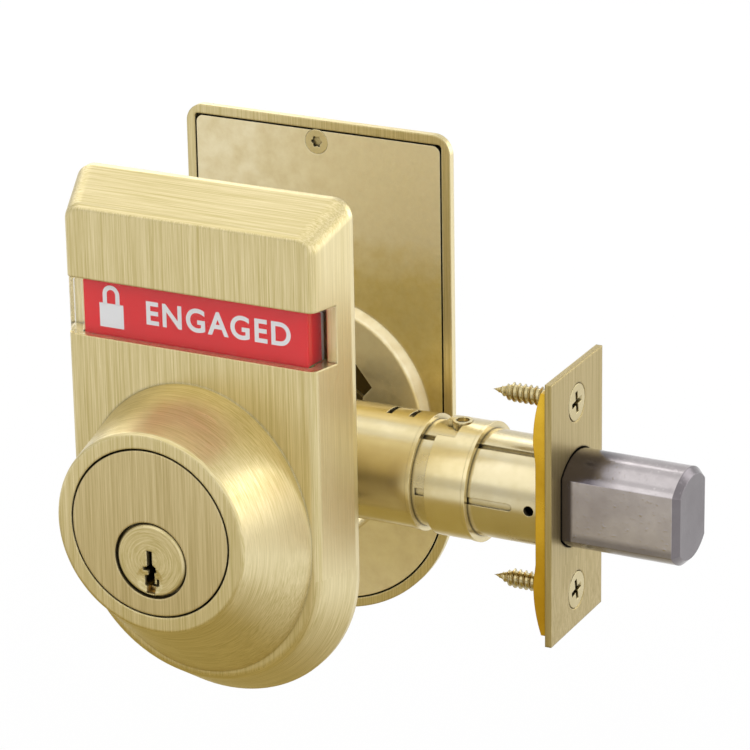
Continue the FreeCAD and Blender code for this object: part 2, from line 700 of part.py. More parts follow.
def pinion():
    base_r = PITCH_R * math.cos(PRESSURE_ANGLE)
    tip_r = PITCH_R + MODULE
    root_r = PITCH_R - 1.25 * MODULE
    half = (math.pi * MODULE / 4.0 - BACKLASH / 4.0) / PITCH_R + involute(base_r, PITCH_R)
    front = GEAR_BACK - GEAR_THICK

    def at(radius, angle):
        return vec(radius * math.cos(angle), front, SPINDLE_Z + radius * math.sin(angle))

    edges = []
    step = 2.0 * math.pi / PINION_TEETH
    tip_half = half - involute(base_r, tip_r)
    mid_r = (base_r + tip_r) / 2.0
    mid_half = half - involute(base_r, mid_r)
    for index in range(PINION_TEETH):
        middle = index * step
        edges.append(Part.LineSegment(at(root_r, middle - half), at(base_r, middle - half)).toShape())
        edges.append(Part.Arc(at(base_r, middle - half), at(mid_r, middle - mid_half),
                              at(tip_r, middle - tip_half)).toShape())
        edges.append(Part.Arc(at(tip_r, middle - tip_half), at(tip_r, middle),
                              at(tip_r, middle + tip_half)).toShape())
        edges.append(Part.Arc(at(tip_r, middle + tip_half), at(mid_r, middle + mid_half),
                              at(base_r, middle + half)).toShape())
        edges.append(Part.LineSegment(at(base_r, middle + half), at(root_r, middle + half)).toShape())
        edges.append(Part.Arc(at(root_r, middle + half), at(root_r, middle + step / 2.0),
                              at(root_r, middle + step - half)).toShape())
    gear = Part.Face(Part.Wire(edges)).extrude(vec(0, GEAR_THICK, 0))
    gear = gear.cut(tail_bar(front, GEAR_BACK))
    return gear.cut(arc_slot(front))


def arc_slot(front):
    """Slot that the plug's stud runs in, so that the key turns free before it drives."""
    width = STUD_R + SEAM
    start = math.radians(-STUD_SPAN_BACK - STUD_MARGIN)
    end = math.radians(STUD_SPAN_FORWARD + STUD_MARGIN)

    def at(radius, angle):
        return vec(radius * math.cos(angle), front, SPINDLE_Z + radius * math.sin(angle))

    def arc(radius, a0, a1):
        return Part.Arc(at(radius, a0), at(radius, (a0 + a1) / 2.0), at(radius, a1)).toShape()

    outer = STUD_RADIUS + width
    inner = STUD_RADIUS - width
    wire = Part.Wire([
        arc(outer, start, end),
        Part.LineSegment(at(outer, end), at(inner, end)).toShape(),
        arc(inner, end, start),
        Part.LineSegment(at(inner, start), at(outer, start)).toShape(),
    ])
    slot = Part.Face(wire).extrude(vec(0, GEAR_THICK, 0))
    for angle in (start, end):
        x = STUD_RADIUS * math.cos(angle)
        z = SPINDLE_Z + STUD_RADIUS * math.sin(angle)
        slot = slot.fuse(rod_y(width, front, front + GEAR_THICK, x, z))
    return slot


def tail_bar(y0, y1):
    return box(-TAIL_THICK / 2.0, TAIL_THICK / 2.0, y0, y1,
               SPINDLE_Z - TAIL_WIDE / 2.0, SPINDLE_Z + TAIL_WIDE / 2.0)


def tailpiece():
    return tail_bar(GEAR_BACK - GEAR_THICK, BLADE_END)


def case_section(radius, flat, x0, x1):
    """Round bar along X with two flats at its sides."""
    reach = radius + 1.0
    return rod_x(radius, x0, x1).common(box(x0, x1, MID - flat, MID + flat, -reach, reach))


def rear_housing():
    inner_r = FRONT_R
    shoulder = CASE_FRONT - REAR_WALL
    inner_flat = CASE_FLAT - REAR_WALL
    body = rod_x(REAR_R, shoulder, REAR_END).fuse([
        case_section(REAR_R, CASE_FLAT, CASE_BACK, CASE_FRONT),
        rod_x(REAR_R + BEAD_PROUD, REAR_END - REAR_BEAD, REAR_END),
    ])
    body = body.cut(rod_x(inner_r, CASE_FRONT, REAR_END))
    body = body.cut(case_section(inner_r, inner_flat, CASE_BACK + REAR_WALL, CASE_FRONT))
    slot_end = FORK_X + CRANK_PIN_R + FORK_SPARE + FORK_PRONG + GAP
    body = body.cut(box(CASE_BACK, slot_end, MID - CASE_SLOT_HALF, MID + CASE_SLOT_HALF,
                        TAIL_BAR_HIGH, REAR_R + 1.0))
    body = body.cut(rod_y(CRANK_JOURNAL_R + RUN, MID - REAR_R, MID + REAR_R, 0, SPINDLE_Z))
    slot_half = TONGUE_SLOT_WIDE / 2.0
    first = REAR_END - TONGUE_FIRST
    last = REAR_END - TONGUE_LAST
    for x in (first, last):
        body = body.cut(box(x - slot_half, x + slot_half, MID + TONGUE_SLOT_LOW,
                            MID + TONGUE_SLOT_HIGH, 0.0, REAR_R + 1.0))
    slit = box(first, last, MID + TONGUE_SLOT_HIGH - TONGUE_SLIT, MID + TONGUE_SLOT_HIGH,
               0.0, REAR_R + 1.0)
    return body.cut(slit).removeSplitter()


def front_barrel():
    rear_face = BACKSET - PLATE_THICK
    inner_r = FRONT_R - FRONT_WALL
    body = rod_x(FRONT_R, FRONT_START, rear_face).cut(rod_x(inner_r, FRONT_START, rear_face))
    seam_y = MID - math.sqrt(FRONT_R ** 2 - SEAM_Z ** 2)
    body = body.cut(box(REAR_END, rear_face - BACKING_DEEP - SEAM_LAND, seam_y - SEAM_WIDE,
                        seam_y + SEAM_WIDE, SEAM_Z - SEAM_WIDE, SEAM_Z + SEAM_WIDE))
    ring = rod_x(FRONT_R, GROOVE_X, GROOVE_X + GROOVE_LENGTH)
    ring = ring.cut(rod_x(FRONT_R - GROOVE_DEEP, GROOVE_X, GROOVE_X + GROOVE_LENGTH))
    half = GROOVE_WIDE / 2.0
    end = rod_y(half, MID - FRONT_R, MID, GROOVE_X + GROOVE_LENGTH - half)
    strip = box(GROOVE_X, GROOVE_X + GROOVE_LENGTH - half, MID - FRONT_R, MID, -half, half)
    body = body.cut(ring.common(strip.fuse(end)))
    return body.cut(rod_y(PORT_R, MID - FRONT_R, MID, PORT_X, 0.0))


def collar_band():
    end = COLLAR_START + COLLAR_LENGTH
    band = rod_x(COLLAR_R, COLLAR_START, end)
    bead = rod_x(COLLAR_R + BEAD_PROUD, end - COLLAR_BEAD, end)
    band = band.fuse(bead).cut(rod_x(FRONT_R, COLLAR_START, end))
    notch = box(COLLAR_START, COLLAR_START + COLLAR_NOTCH, MID + NOTCH_LOW, MID + NOTCH_HIGH,
                0.0, COLLAR_R)
    band = band.cut(notch)
    return band.cut(Part.makeCylinder(RIVET_R, COLLAR_R + 1.0, vec(RIVET_X, MID, 0.0)))


def collar_rivet():
    top = COLLAR_R + RIVET_PROUD
    rivet = Part.makeCylinder(RIVET_R, top, vec(RIVET_X, MID, 0.0))
    rivet = rivet.cut(rod_x(FRONT_R, COLLAR_START, COLLAR_START + COLLAR_LENGTH))
    bore = Part.makeCylinder(RIVET_BORE_R, RIVET_BORE_DEEP, vec(RIVET_X, MID, top - RIVET_BORE_DEEP))
    return rivet.cut(bore)


def crank():
    eye_x = CRANK_R * math.cos(CRANK_START)
    eye_z = SPINDLE_Z + CRANK_R * math.sin(CRANK_START)
    body = rod_y(CRANK_HUB_R, MID - CRANK_ARM_OUT, MID + CRANK_ARM_OUT, 0, SPINDLE_Z)
    body = body.fuse(rod_y(CRANK_JOURNAL_R, MID - CRANK_JOURNAL_END, MID + CRANK_JOURNAL_END,
                           0, SPINDLE_Z))
    side_x = math.sin(CRANK_START)
    side_z = -math.cos(CRANK_START)
    arm_points = [
        (CRANK_HUB_R * side_x, SPINDLE_Z + CRANK_HUB_R * side_z),
        (eye_x + CRANK_EYE_R * side_x, eye_z + CRANK_EYE_R * side_z),
        (eye_x - CRANK_EYE_R * side_x, eye_z - CRANK_EYE_R * side_z),
        (-CRANK_HUB_R * side_x, SPINDLE_Z - CRANK_HUB_R * side_z),
    ]
    for y0, y1 in ((-CRANK_ARM_OUT, -CRANK_ARM_IN), (CRANK_ARM_IN, CRANK_ARM_OUT)):
        arm = polygon_y(arm_points, MID + y0, MID + y1)
        body = body.fuse([arm, rod_y(CRANK_EYE_R, MID + y0, MID + y1, eye_x, eye_z)])
    body = body.cut(rod_y(CRANK_PIN_R, MID - CRANK_PIN_END, MID + CRANK_PIN_END, eye_x, eye_z))
    return body.cut(tail_bar(0.0, DOOR)).removeSplitter()


def crank_pin():
    eye_x = CRANK_R * math.cos(CRANK_START)
    eye_z = SPINDLE_Z + CRANK_R * math.sin(CRANK_START)
    return rod_y(CRANK_PIN_R, MID - CRANK_PIN_END, MID + CRANK_PIN_END, eye_x, eye_z)


def bolt_tail():
    half = CRANK_PIN_R + FORK_SPARE
    back = FORK_X - half - FORK_PRONG
    fork = box(back, FORK_X + half + FORK_PRONG, MID - TAIL_BAR_HALF, MID + TAIL_BAR_HALF,
               TAIL_BAR_LOW, FORK_TOP)
    slot = box(FORK_X - half, FORK_X + half, MID - TAIL_BAR_HALF, MID + TAIL_BAR_HALF,
               FORK_LOW, FORK_TOP)
    bar = box(FORK_X, BOLT_REAR + TAIL_BAR_SEAT, MID - TAIL_BAR_HALF, MID + TAIL_BAR_HALF,
              TAIL_BAR_LOW, TAIL_BAR_HIGH)
    tail = fork.fuse(bar).cut(slot)
    return tail.cut(tail_rivet()).removeSplitter()


def tail_rivet():
    x = BOLT_REAR + TAIL_BAR_SEAT / 2.0
    z = (TAIL_BAR_LOW + TAIL_BAR_HIGH) / 2.0
    return rod_y(TAIL_RIVET_R, MID - BOLT_FLAT, MID + BOLT_FLAT, x, z)


def deadbolt():
    end = BACKSET + THROW
    body = case_section(BOLT_R, BOLT_FLAT, BOLT_REAR, end)
    nose = [edge for edge in body.Edges if edge.BoundBox.XMin > end - 1e-4]
    body = body.makeChamfer(BOLT_CHAMFER, nose)
    seat = box(BOLT_REAR, BOLT_REAR + TAIL_BAR_SEAT, MID - TAIL_BAR_HALF, MID + TAIL_BAR_HALF,
               TAIL_BAR_LOW, TAIL_BAR_HIGH)
    body = body.cut(rod_x(ROLLER_R + RUN, BOLT_REAR, ROLLER_START + ROLLER_LENGTH + GAP))
    return body.cut(seat).cut(tail_rivet()).removeSplitter()


def saw_roller():
    roller = rod_x(ROLLER_R, ROLLER_START, ROLLER_START + ROLLER_LENGTH)
    rims = [edge for edge in roller.Edges if edge.BoundBox.XLength < ROLLER_BEVEL]
    return roller.makeChamfer(ROLLER_BEVEL, rims)


def plate_screw_places():
    return [PLATE_SCREW_PITCH / 2.0, -PLATE_SCREW_PITCH / 2.0]


def plate_head(z):
    depth = PLATE_HEAD_R - PLATE_SCREW_R
    return Part.makeCone(PLATE_SCREW_R, PLATE_HEAD_R, depth, vec(BACKSET - depth, MID, z), X_AXIS)


def faceplate():
    rear = BACKSET - PLATE_THICK
    body = box(rear, BACKSET, MID - PLATE_WIDE / 2.0, MID + PLATE_WIDE / 2.0,
               -PLATE_HIGH / 2.0, PLATE_HIGH / 2.0)
    body = body.cut(case_section(BOLT_R + BOLT_HOLE_SPARE, BOLT_FLAT + BOLT_HOLE_SPARE,
                                 rear, BACKSET))
    for z in plate_screw_places():
        body = body.cut(plate_head(z))
    return body


def backing_plate():
    front = BACKSET - PLATE_THICK
    high = BACKING_HIGH
    bend = (BACKING_HIGH + BACKING_BULGE_Z) / 2.0
    bend_x = front - BACKING_DEEP + BACKING_SAG
    edges = []

    def at(x, z):
        return vec(x, MID - BACKING_HALF, z)

    rear_x = front - BACKING_DEEP
    middle_x = front - BACKING_MIDDLE
    end_x = front - BACKING_END
    edges.append(Part.LineSegment(at(front, -high), at(front, high)).toShape())
    edges.append(Part.LineSegment(at(front, high), at(end_x, high)).toShape())
    edges.append(Part.Arc(at(end_x, high), at(bend_x, bend), at(rear_x, BACKING_BULGE_Z)).toShape())
    edges.append(Part.LineSegment(at(rear_x, BACKING_BULGE_Z), at(middle_x, BACKING_STEP_Z)).toShape())
    edges.append(Part.LineSegment(at(middle_x, BACKING_STEP_Z), at(middle_x, -BACKING_STEP_Z)).toShape())
    edges.append(Part.LineSegment(at(middle_x, -BACKING_STEP_Z), at(rear_x, -BACKING_BULGE_Z)).toShape())
    edges.append(Part.Arc(at(rear_x, -BACKING_BULGE_Z), at(bend_x, -bend), at(end_x, -high)).toShape())
    edges.append(Part.LineSegment(at(end_x, -high), at(front, -high)).toShape())
    body = Part.Face(Part.Wire(edges)).extrude(vec(0, 2.0 * BACKING_HALF, 0))
    body = body.cut(rod_x(FRONT_R, front - BACKING_DEEP, front))
    for z in plate_screw_places():
        body = body.cut(rod_x(PLATE_SCREW_R + GAP, front - BACKING_DEEP, front, MID, z))
        body = body.cut(plate_head(z))
    return body


def faceplate_screws():
    screws = []
    for z in plate_screw_places():
        tip = BACKSET - PLATE_SCREW_LENGTH
        point = Part.makeCone(PLATE_SCREW_POINT_R, PLATE_SCREW_R, PLATE_SCREW_TIP, vec(tip, MID, z), X_AXIS)
        shank = rod_x(PLATE_SCREW_R, tip + PLATE_SCREW_TIP, BACKSET - SEAM, MID, z)
        screws.append(point.fuse([shank, plate_head(z)]))
    return Part.makeCompound(screws)


def inside_cover():
    front = (HALF_WIDTH - INSIDE_FRONT_INSET, TOP - INSIDE_FRONT_INSET, ARC_CENTRE)
    outer, inner = cover_shell(1, DOOR, INSIDE_DEPTH, INSIDE_WALL, front)
    body = outer.cut(inner)
    body = body.fuse(cone_y(ROSE_BASE_R, ROSE_TOP_R, INSIDE_FACE, ROSE_FACE, 0, SPINDLE_Z))
    plate_back = DOOR + INNER_PLATE_THICK
    for z in (COVER_SCREW_TOP, COVER_SCREW_LOW):
        boss = rod_y(COVER_BOSS_R, plate_back, INSIDE_FACE - INSIDE_BOSS_DEPTH, 0, z).common(outer)
        body = body.fuse(boss).cut(rod_y(COVER_SCREW_R, DOOR, DOOR + COVER_SCREW_LENGTH, 0, z))
    for x, z in through_places():
        body = body.fuse(rod_y(INSIDE_BOSS_R, plate_back, INSIDE_FACE - INSIDE_BOSS_DEPTH, x, z))
        body = body.cut(rod_y(THROUGH_R + GAP, DOOR, INSIDE_FACE, x, z))
        body = body.cut(through_head(x, z))
    wall_back = INSIDE_FACE - INSIDE_WALL
    ring = rod_y(BUSHING_RING_R, wall_back - BUSHING_RING_HIGH, wall_back, 0, SPINDLE_Z)
    ring = ring.cut(rod_y(BUSHING_RING_INNER_R, wall_back - BUSHING_RING_HIGH, wall_back,
                          0, SPINDLE_Z))
    body = body.fuse(ring)
    return body.cut(rod_y(BUSHING_R, DOOR, ROSE_FACE, 0, SPINDLE_Z)).removeSplitter()


def through_head(x, z):
    depth = THROUGH_HEAD_R - THROUGH_R
    return cone_y(THROUGH_R, THROUGH_HEAD_R, INSIDE_FACE - depth, INSIDE_FACE, x, z)


def through_bolts():
    bolts = []
    for x, z in through_places():
        shank = rod_y(THROUGH_R, -THROUGH_DEPTH, INSIDE_FACE - SEAM, x, z)
        head = through_head(x, z)
        dome_y = INSIDE_FACE + THROUGH_DOME - THROUGH_DOME_R
        dome = Part.makeSphere(THROUGH_DOME_R, vec(x, dome_y, z))
        crown = dome.common(rod_y(THROUGH_HEAD_R, INSIDE_FACE, INSIDE_FACE + THROUGH_DOME, x, z))
        bolts.append(shank.fuse([head, crown]))
    return Part.makeCompound(bolts)


def inner_plate():
    inset = INSIDE_WALL + INNER_PLATE_GAP
    back = DOOR + INNER_PLATE_THICK
    sheet = loft([
        outline(HALF_WIDTH - inset, TOP - inset, ARC_CENTRE, CORNER - inset, DOOR),
        outline(HALF_WIDTH - inset, TOP - inset, ARC_CENTRE, CORNER - inset, back),
    ])
    top = DOOR - BOSS_HEIGHT
    boss = cone_y(BOSS_TOP_R, BOSS_R, top, DOOR)
    boss = boss.makeFillet(BOSS_ROUND, edges_in_plane_y(boss, top))
    pan = cone_y(BOSS_TOP_R - INNER_PLATE_THICK, BOSS_R - INNER_PLATE_THICK,
                 top + INNER_PLATE_THICK, back)
    plate = sheet.fuse(boss).cut(pan)
    plate = plate.cut(polygon_y(plate_opening(), top, back))
    for x, z in through_places():
        plate = plate.cut(rod_y(THROUGH_R + GAP, top, back, x, z))
    for z in (COVER_SCREW_TOP, COVER_SCREW_LOW):
        plate = plate.cut(rod_y(COVER_SCREW_R + GAP, DOOR, back, 0, z))
        plate = plate.cut(cover_head(z))
    return plate.removeSplitter()


def plate_opening():
    """Opening round the spindle as (x, z) points, the same on both sides."""
    right = [
        (OPENING_TOP_HALF, OPENING_TOP),
        (OPENING_TIP_X, OPENING_TIP_Z),
        (OPENING_HALF, OPENING_STEP_Z),
        (OPENING_HALF, OPENING_BOTTOM),
    ]
    left = [(-x, z) for x, z in reversed(right)]
    return right + left


def cover_head(z):
    low_r = COVER_HEAD_R - COVER_HEAD_DEPTH
    return cone_y(COVER_HEAD_R, low_r, DOOR, DOOR + COVER_HEAD_DEPTH, 0, z)


def cover_screws():
    screws = []
    for z in (COVER_SCREW_TOP, COVER_SCREW_LOW):
        shank = rod_y(COVER_SCREW_R, DOOR + SEAM, DOOR + COVER_SCREW_LENGTH - GAP, 0, z)
        screws.append(shank.fuse(cover_head(z)))
    return Part.makeCompound(screws)


def stadium(length, width, y):
    """Oval of two half circles, long along X, centred on the spindle."""
    end = width / 2.0
    run = length / 2.0 - end
    a = vec(-run, y, SPINDLE_Z - end)
    b = vec(run, y, SPINDLE_Z - end)
    c = vec(run, y, SPINDLE_Z + end)
    d = vec(-run, y, SPINDLE_Z + end)
    return Part.Wire([
        Part.LineSegment(a, b).toShape(),
        Part.Arc(b, vec(run + end, y, SPINDLE_Z), c).toShape(),
        Part.LineSegment(c, d).toShape(),
        Part.Arc(d, vec(-run - end, y, SPINDLE_Z), a).toShape(),
    ])


def thumbturn():
    flange_y = ROSE_FACE + GAP
    grip_y = flange_y + TURN_FLANGE_THICK
    end_y = grip_y + TURN_REACH
    spindle = rod_y(SPINDLE_R, SPINDLE_START, flange_y, 0, SPINDLE_Z)
    clip_end = TURN_CLIP_START + TURN_CLIP_THICK
    groove = rod_y(SPINDLE_R, TURN_CLIP_START, clip_end, 0, SPINDLE_Z)
    groove = groove.cut(rod_y(TURN_CLIP_GROOVE_R, TURN_CLIP_START, clip_end, 0, SPINDLE_Z))
    spindle = spindle.cut(groove)
    spindle = spindle.cut(tail_bar(SPINDLE_START, BLADE_END))
    flange = rod_y(TURN_FLANGE_R, flange_y, grip_y, 0, SPINDLE_Z)
    flange = flange.makeFillet(TURN_FLANGE_ROUND, edges_in_plane_y(flange, grip_y))
    grip = loft([
        stadium(TURN_BASE_LONG, TURN_BASE_WIDE, grip_y - TURN_ROOT),
        stadium(TURN_LONG, TURN_WAIST_WIDE, grip_y + TURN_REACH * TURN_WAIST),
        stadium(TURN_LONG, TURN_WIDE, end_y),
    ])
    grip = grip.makeFillet(TURN_EDGE_ROUND, edges_in_plane_y(grip, end_y))
    return spindle.fuse([flange, grip]).removeSplitter()


def thumbturn_bushing():
    start = INSIDE_FACE - INSIDE_WALL
    ring = rod_y(BUSHING_R, start, ROSE_FACE, 0, SPINDLE_Z)
    return ring.cut(rod_y(SPINDLE_R + RUN, start, ROSE_FACE, 0, SPINDLE_Z))


def thumbturn_clip():
    end = TURN_CLIP_START + TURN_CLIP_THICK
    ring = rod_y(TURN_CLIP_R, TURN_CLIP_START, end, 0, SPINDLE_Z)
    ring = ring.cut(rod_y(TURN_CLIP_GROOVE_R, TURN_CLIP_START, end, 0, SPINDLE_Z))
    mouth = TURN_CLIP_GROOVE_R * CLIP_MOUTH
    return ring.cut(box(-mouth, mouth, TURN_CLIP_START, end, SPINDLE_Z - TURN_CLIP_R - 1.0, SPINDLE_Z))


def build():
    os.makedirs("parts", exist_ok=True)
    pieces = {
        "escutcheon": escutcheon(),
        "window_lens": window_lens(),
        "indicator_slide": indicator_slide(),
        "locked_sign": sign(SLIDE_BOTTOM + TRAVEL),
        "vacant_sign": sign(SLIDE_BOTTOM),
        "indicator_back_plate": back_plate(),
        "back_plate_screws": back_plate_screws(),
        "cylinder_body": cylinder_body(),
        "cylinder_screws": cylinder_screws(),
        "chamber_cap": chamber_cap(),
        "driver_pins": driver_pins(),
        "pin_springs": pin_springs(),
        "plug": plug(),
        "plug_clip": plug_clip(),
        "bottom_pins": bottom_pins(),
        "pinion": pinion(),
        "tailpiece": tailpiece(),
        "rear_housing": rear_housing(),
        "front_barrel": front_barrel(),
        "collar_band": collar_band(),
        "collar_rivet": collar_rivet(),
        "crank": crank(),
        "crank_pin": crank_pin(),
        "bolt_tail": bolt_tail(),
        "tail_rivet": tail_rivet(),
        "deadbolt": deadbolt(),
        "saw_roller": saw_roller(),
        "backing_plate": backing_plate(),
        "faceplate": faceplate(),
        "faceplate_screws": faceplate_screws(),
        "inner_plate": inner_plate(),
        "inside_cover": inside_cover(),
        "cover_screws": cover_screws(),
        "through_bolts": through_bolts(),
        "thumbturn": thumbturn(),
        "thumbturn_bushing": thumbturn_bushing(),
        "thumbturn_clip": thumbturn_clip(),
    }
    for name, shape in pieces.items():
        shape.exportStep("parts/" + name + ".step")
        solids = len(shape.Solids)
        print(name, solids, "solid" if solids == 1 else "solids",
              round(shape.Volume, 1), "valid" if shape.isValid() else "INVALID")


build()
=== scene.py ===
import bpy
import math
from mathutils import Matrix, Vector


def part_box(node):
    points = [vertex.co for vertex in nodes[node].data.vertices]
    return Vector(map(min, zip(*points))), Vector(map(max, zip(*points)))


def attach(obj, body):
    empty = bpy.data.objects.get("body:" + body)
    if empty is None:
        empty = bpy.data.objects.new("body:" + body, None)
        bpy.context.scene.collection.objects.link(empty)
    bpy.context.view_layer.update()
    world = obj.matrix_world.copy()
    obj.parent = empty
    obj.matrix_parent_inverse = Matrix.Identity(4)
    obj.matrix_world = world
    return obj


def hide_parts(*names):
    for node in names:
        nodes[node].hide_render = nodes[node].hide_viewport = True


# Indicator deadbolt: finishes for the CAD pieces, and screws, lens, print, stage and camera
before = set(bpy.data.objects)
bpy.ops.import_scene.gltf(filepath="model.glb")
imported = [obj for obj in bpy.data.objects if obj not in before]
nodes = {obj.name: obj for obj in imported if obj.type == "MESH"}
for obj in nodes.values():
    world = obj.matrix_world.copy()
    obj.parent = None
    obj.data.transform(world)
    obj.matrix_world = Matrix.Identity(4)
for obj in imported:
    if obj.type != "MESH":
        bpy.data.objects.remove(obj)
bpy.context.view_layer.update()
MM = 0.001

# Places read from the CAD pieces
sign_low, sign_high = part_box("locked_sign")
free_low, free_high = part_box("vacant_sign")
lens_low, lens_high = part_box("window_lens")
plug_low, plug_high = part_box("plug")
plate_low, plate_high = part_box("faceplate")
edge_screw_low, edge_screw_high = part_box("faceplate_screws")
through_low, through_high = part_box("through_bolts")
cover_screw_low, cover_screw_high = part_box("cover_screws")
back_screw_low, back_screw_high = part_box("back_plate_screws")
inner_plate_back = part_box("inner_plate")[1].y
spindle_z = (plug_low.z + plug_high.z) / 2.0
door_middle = (plate_low.y + plate_high.y) / 2.0
THROUGH_CROWN = 0.8 * MM
inside_face = through_high.y - THROUGH_CROWN

# Camera, set by where the corners of the covers and the faceplate stand in the photograph
CAMERA_AZIMUTH = math.radians(27.01)
CAMERA_ELEVATION = math.radians(20.85)
CAMERA_ROLL = math.radians(-1.0)
CAMERA_DISTANCE = 0.81225
CAMERA_LENS = 188.49
CAMERA_TARGET = Vector((0.02421, door_middle, 0.01938))


def deselect_all():
    if bpy.context.object and bpy.context.object.mode != "OBJECT":
        bpy.ops.object.mode_set(mode="OBJECT")
    bpy.ops.object.select_all(action="DESELECT")


def pick(piece):
    deselect_all()
    piece.select_set(True)
    bpy.context.view_layer.objects.active = piece


def place_mesh(piece):
    """Moves the object's place, turn and size into its mesh."""
    pick(piece)
    bpy.ops.object.transform_apply(location=True, rotation=True, scale=True)


def finish_piece(piece, name, finish, body, replaces=None):
    """Names and dresses a piece, puts it in its body, and hides the CAD node it stands for, if
    any.
    """
    place_mesh(piece)
    piece.name = name
    piece.data.name = name
    piece.data.materials.clear()
    piece.data.materials.append(materials[finish])
    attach(piece, body)
    if replaces:
        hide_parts(replaces)


def apply_modifier(piece, kind, **settings):
    pick(piece)
    modifier = piece.modifiers.new(kind.lower(), kind)
    for key, value in settings.items():
        setattr(modifier, key, value)
    bpy.ops.object.modifier_apply(modifier=modifier.name)


def join(pieces):
    deselect_all()
    for piece in pieces:
        piece.select_set(True)
    bpy.context.view_layer.objects.active = pieces[0]
    bpy.ops.object.join()
    return pieces[0]


# Shader groups

def new_group(name, inputs, outputs):
    group = bpy.data.node_groups.new(name, "ShaderNodeTree")
    for label, kind, value in inputs:
        socket = group.interface.new_socket(label, in_out="INPUT", socket_type=kind)
        if value is not None:
            socket.default_value = value
    for label, kind in outputs:
        group.interface.new_socket(label, in_out="OUTPUT", socket_type=kind)
    start = group.nodes.new("NodeGroupInput")
    end = group.nodes.new("NodeGroupOutput")
    return group, start, end


def feed(tree, value, socket):
    """Links an output to a socket, or sets the socket to a number or a colour."""
    if isinstance(value, (int, float, tuple)):
        socket.default_value = value
    else:
        tree.links.new(value, socket)


def math_node(tree, operation, *values):
    node = tree.nodes.new("ShaderNodeMath")
    node.operation = operation
    for index, value in enumerate(values):
        feed(tree, value, node.inputs[index])
    return node.outputs[0]


def largest(tree, first, *others):
    for other in others:
        first = math_node(tree, "MAXIMUM", first, other)
    return first


def length_of_two(tree, first, second):
    squares = [math_node(tree, "MULTIPLY", value, value) for value in (first, second)]
    return math_node(tree, "SQRT", math_node(tree, "ADD", *squares))


def combine(tree, *values):
    node = tree.nodes.new("ShaderNodeCombineXYZ")
    for index, value in enumerate(values):
        feed(tree, value, node.inputs[index])
    return node.outputs[0]


def split_coords(tree, kind):
    """X, Y and Z of one kind of texture coordinate."""
    coords = tree.nodes.new("ShaderNodeTexCoord")
    split = tree.nodes.new("ShaderNodeSeparateXYZ")
    tree.links.new(coords.outputs[kind], split.inputs[0])
    return split.outputs


def noise(tree, vector, scale, detail, roughness):
    node = tree.nodes.new("ShaderNodeTexNoise")
    node.inputs["Scale"].default_value = scale
    node.inputs["Detail"].default_value = detail
    node.inputs["Roughness"].default_value = roughness
    tree.links.new(vector, node.inputs["Vector"])
    return node.outputs["Fac"]


def remap(tree, value, low, high, to_low=0.0, to_high=1.0):
    node = tree.nodes.new("ShaderNodeMapRange")
    node.inputs["From Min"].default_value = low
    node.inputs["From Max"].default_value = high
    node.inputs["To Min"].default_value = to_low
    node.inputs["To Max"].default_value = to_high
    tree.links.new(value, node.inputs["Value"])
    return node.outputs["Result"]


# A Mix node has one pair of inputs and one output for each data type
MIX_SOCKETS = {"VECTOR": (4, 5, 1), "RGBA": (6, 7, 2)}


def mix(tree, data_type, factor, first, second):
    node = tree.nodes.new("ShaderNodeMix")
    node.data_type = data_type
    first_socket, second_socket, result = MIX_SOCKETS[data_type]
    for index, value in ((0, factor), (first_socket, first), (second_socket, second)):
        feed(tree, value, node.inputs[index])
    return node.outputs[result]


def mix_colors(tree, factor, first, second):
    return mix(tree, "RGBA", factor, first, second)


# Brushed lines: change of the noise per mm along and across them, and per radian round a cone
LINE_ALONG = 0.045
LINE_ACROSS = 3.4
LINE_AROUND = 1.4
LINE_SHARE = 0.9
BROAD_SCALE = 0.15
# Part of the noise's range that is spread from 0 to 1
NOISE_RANGE = (0.32, 0.68)
BROAD_RANGE = (0.3, 0.7)
SPECK_RANGE = (0.62, 0.74)
# How far a normal points along Y on a flat face, up on the top slope and along X on a side that
# gets painted light
FLAT_FACING = 0.93
SLOPE_FACING = 0.45
LIT_FACING_X = (0.86, 0.97)
TOP_SLOPE_Z = 40.0


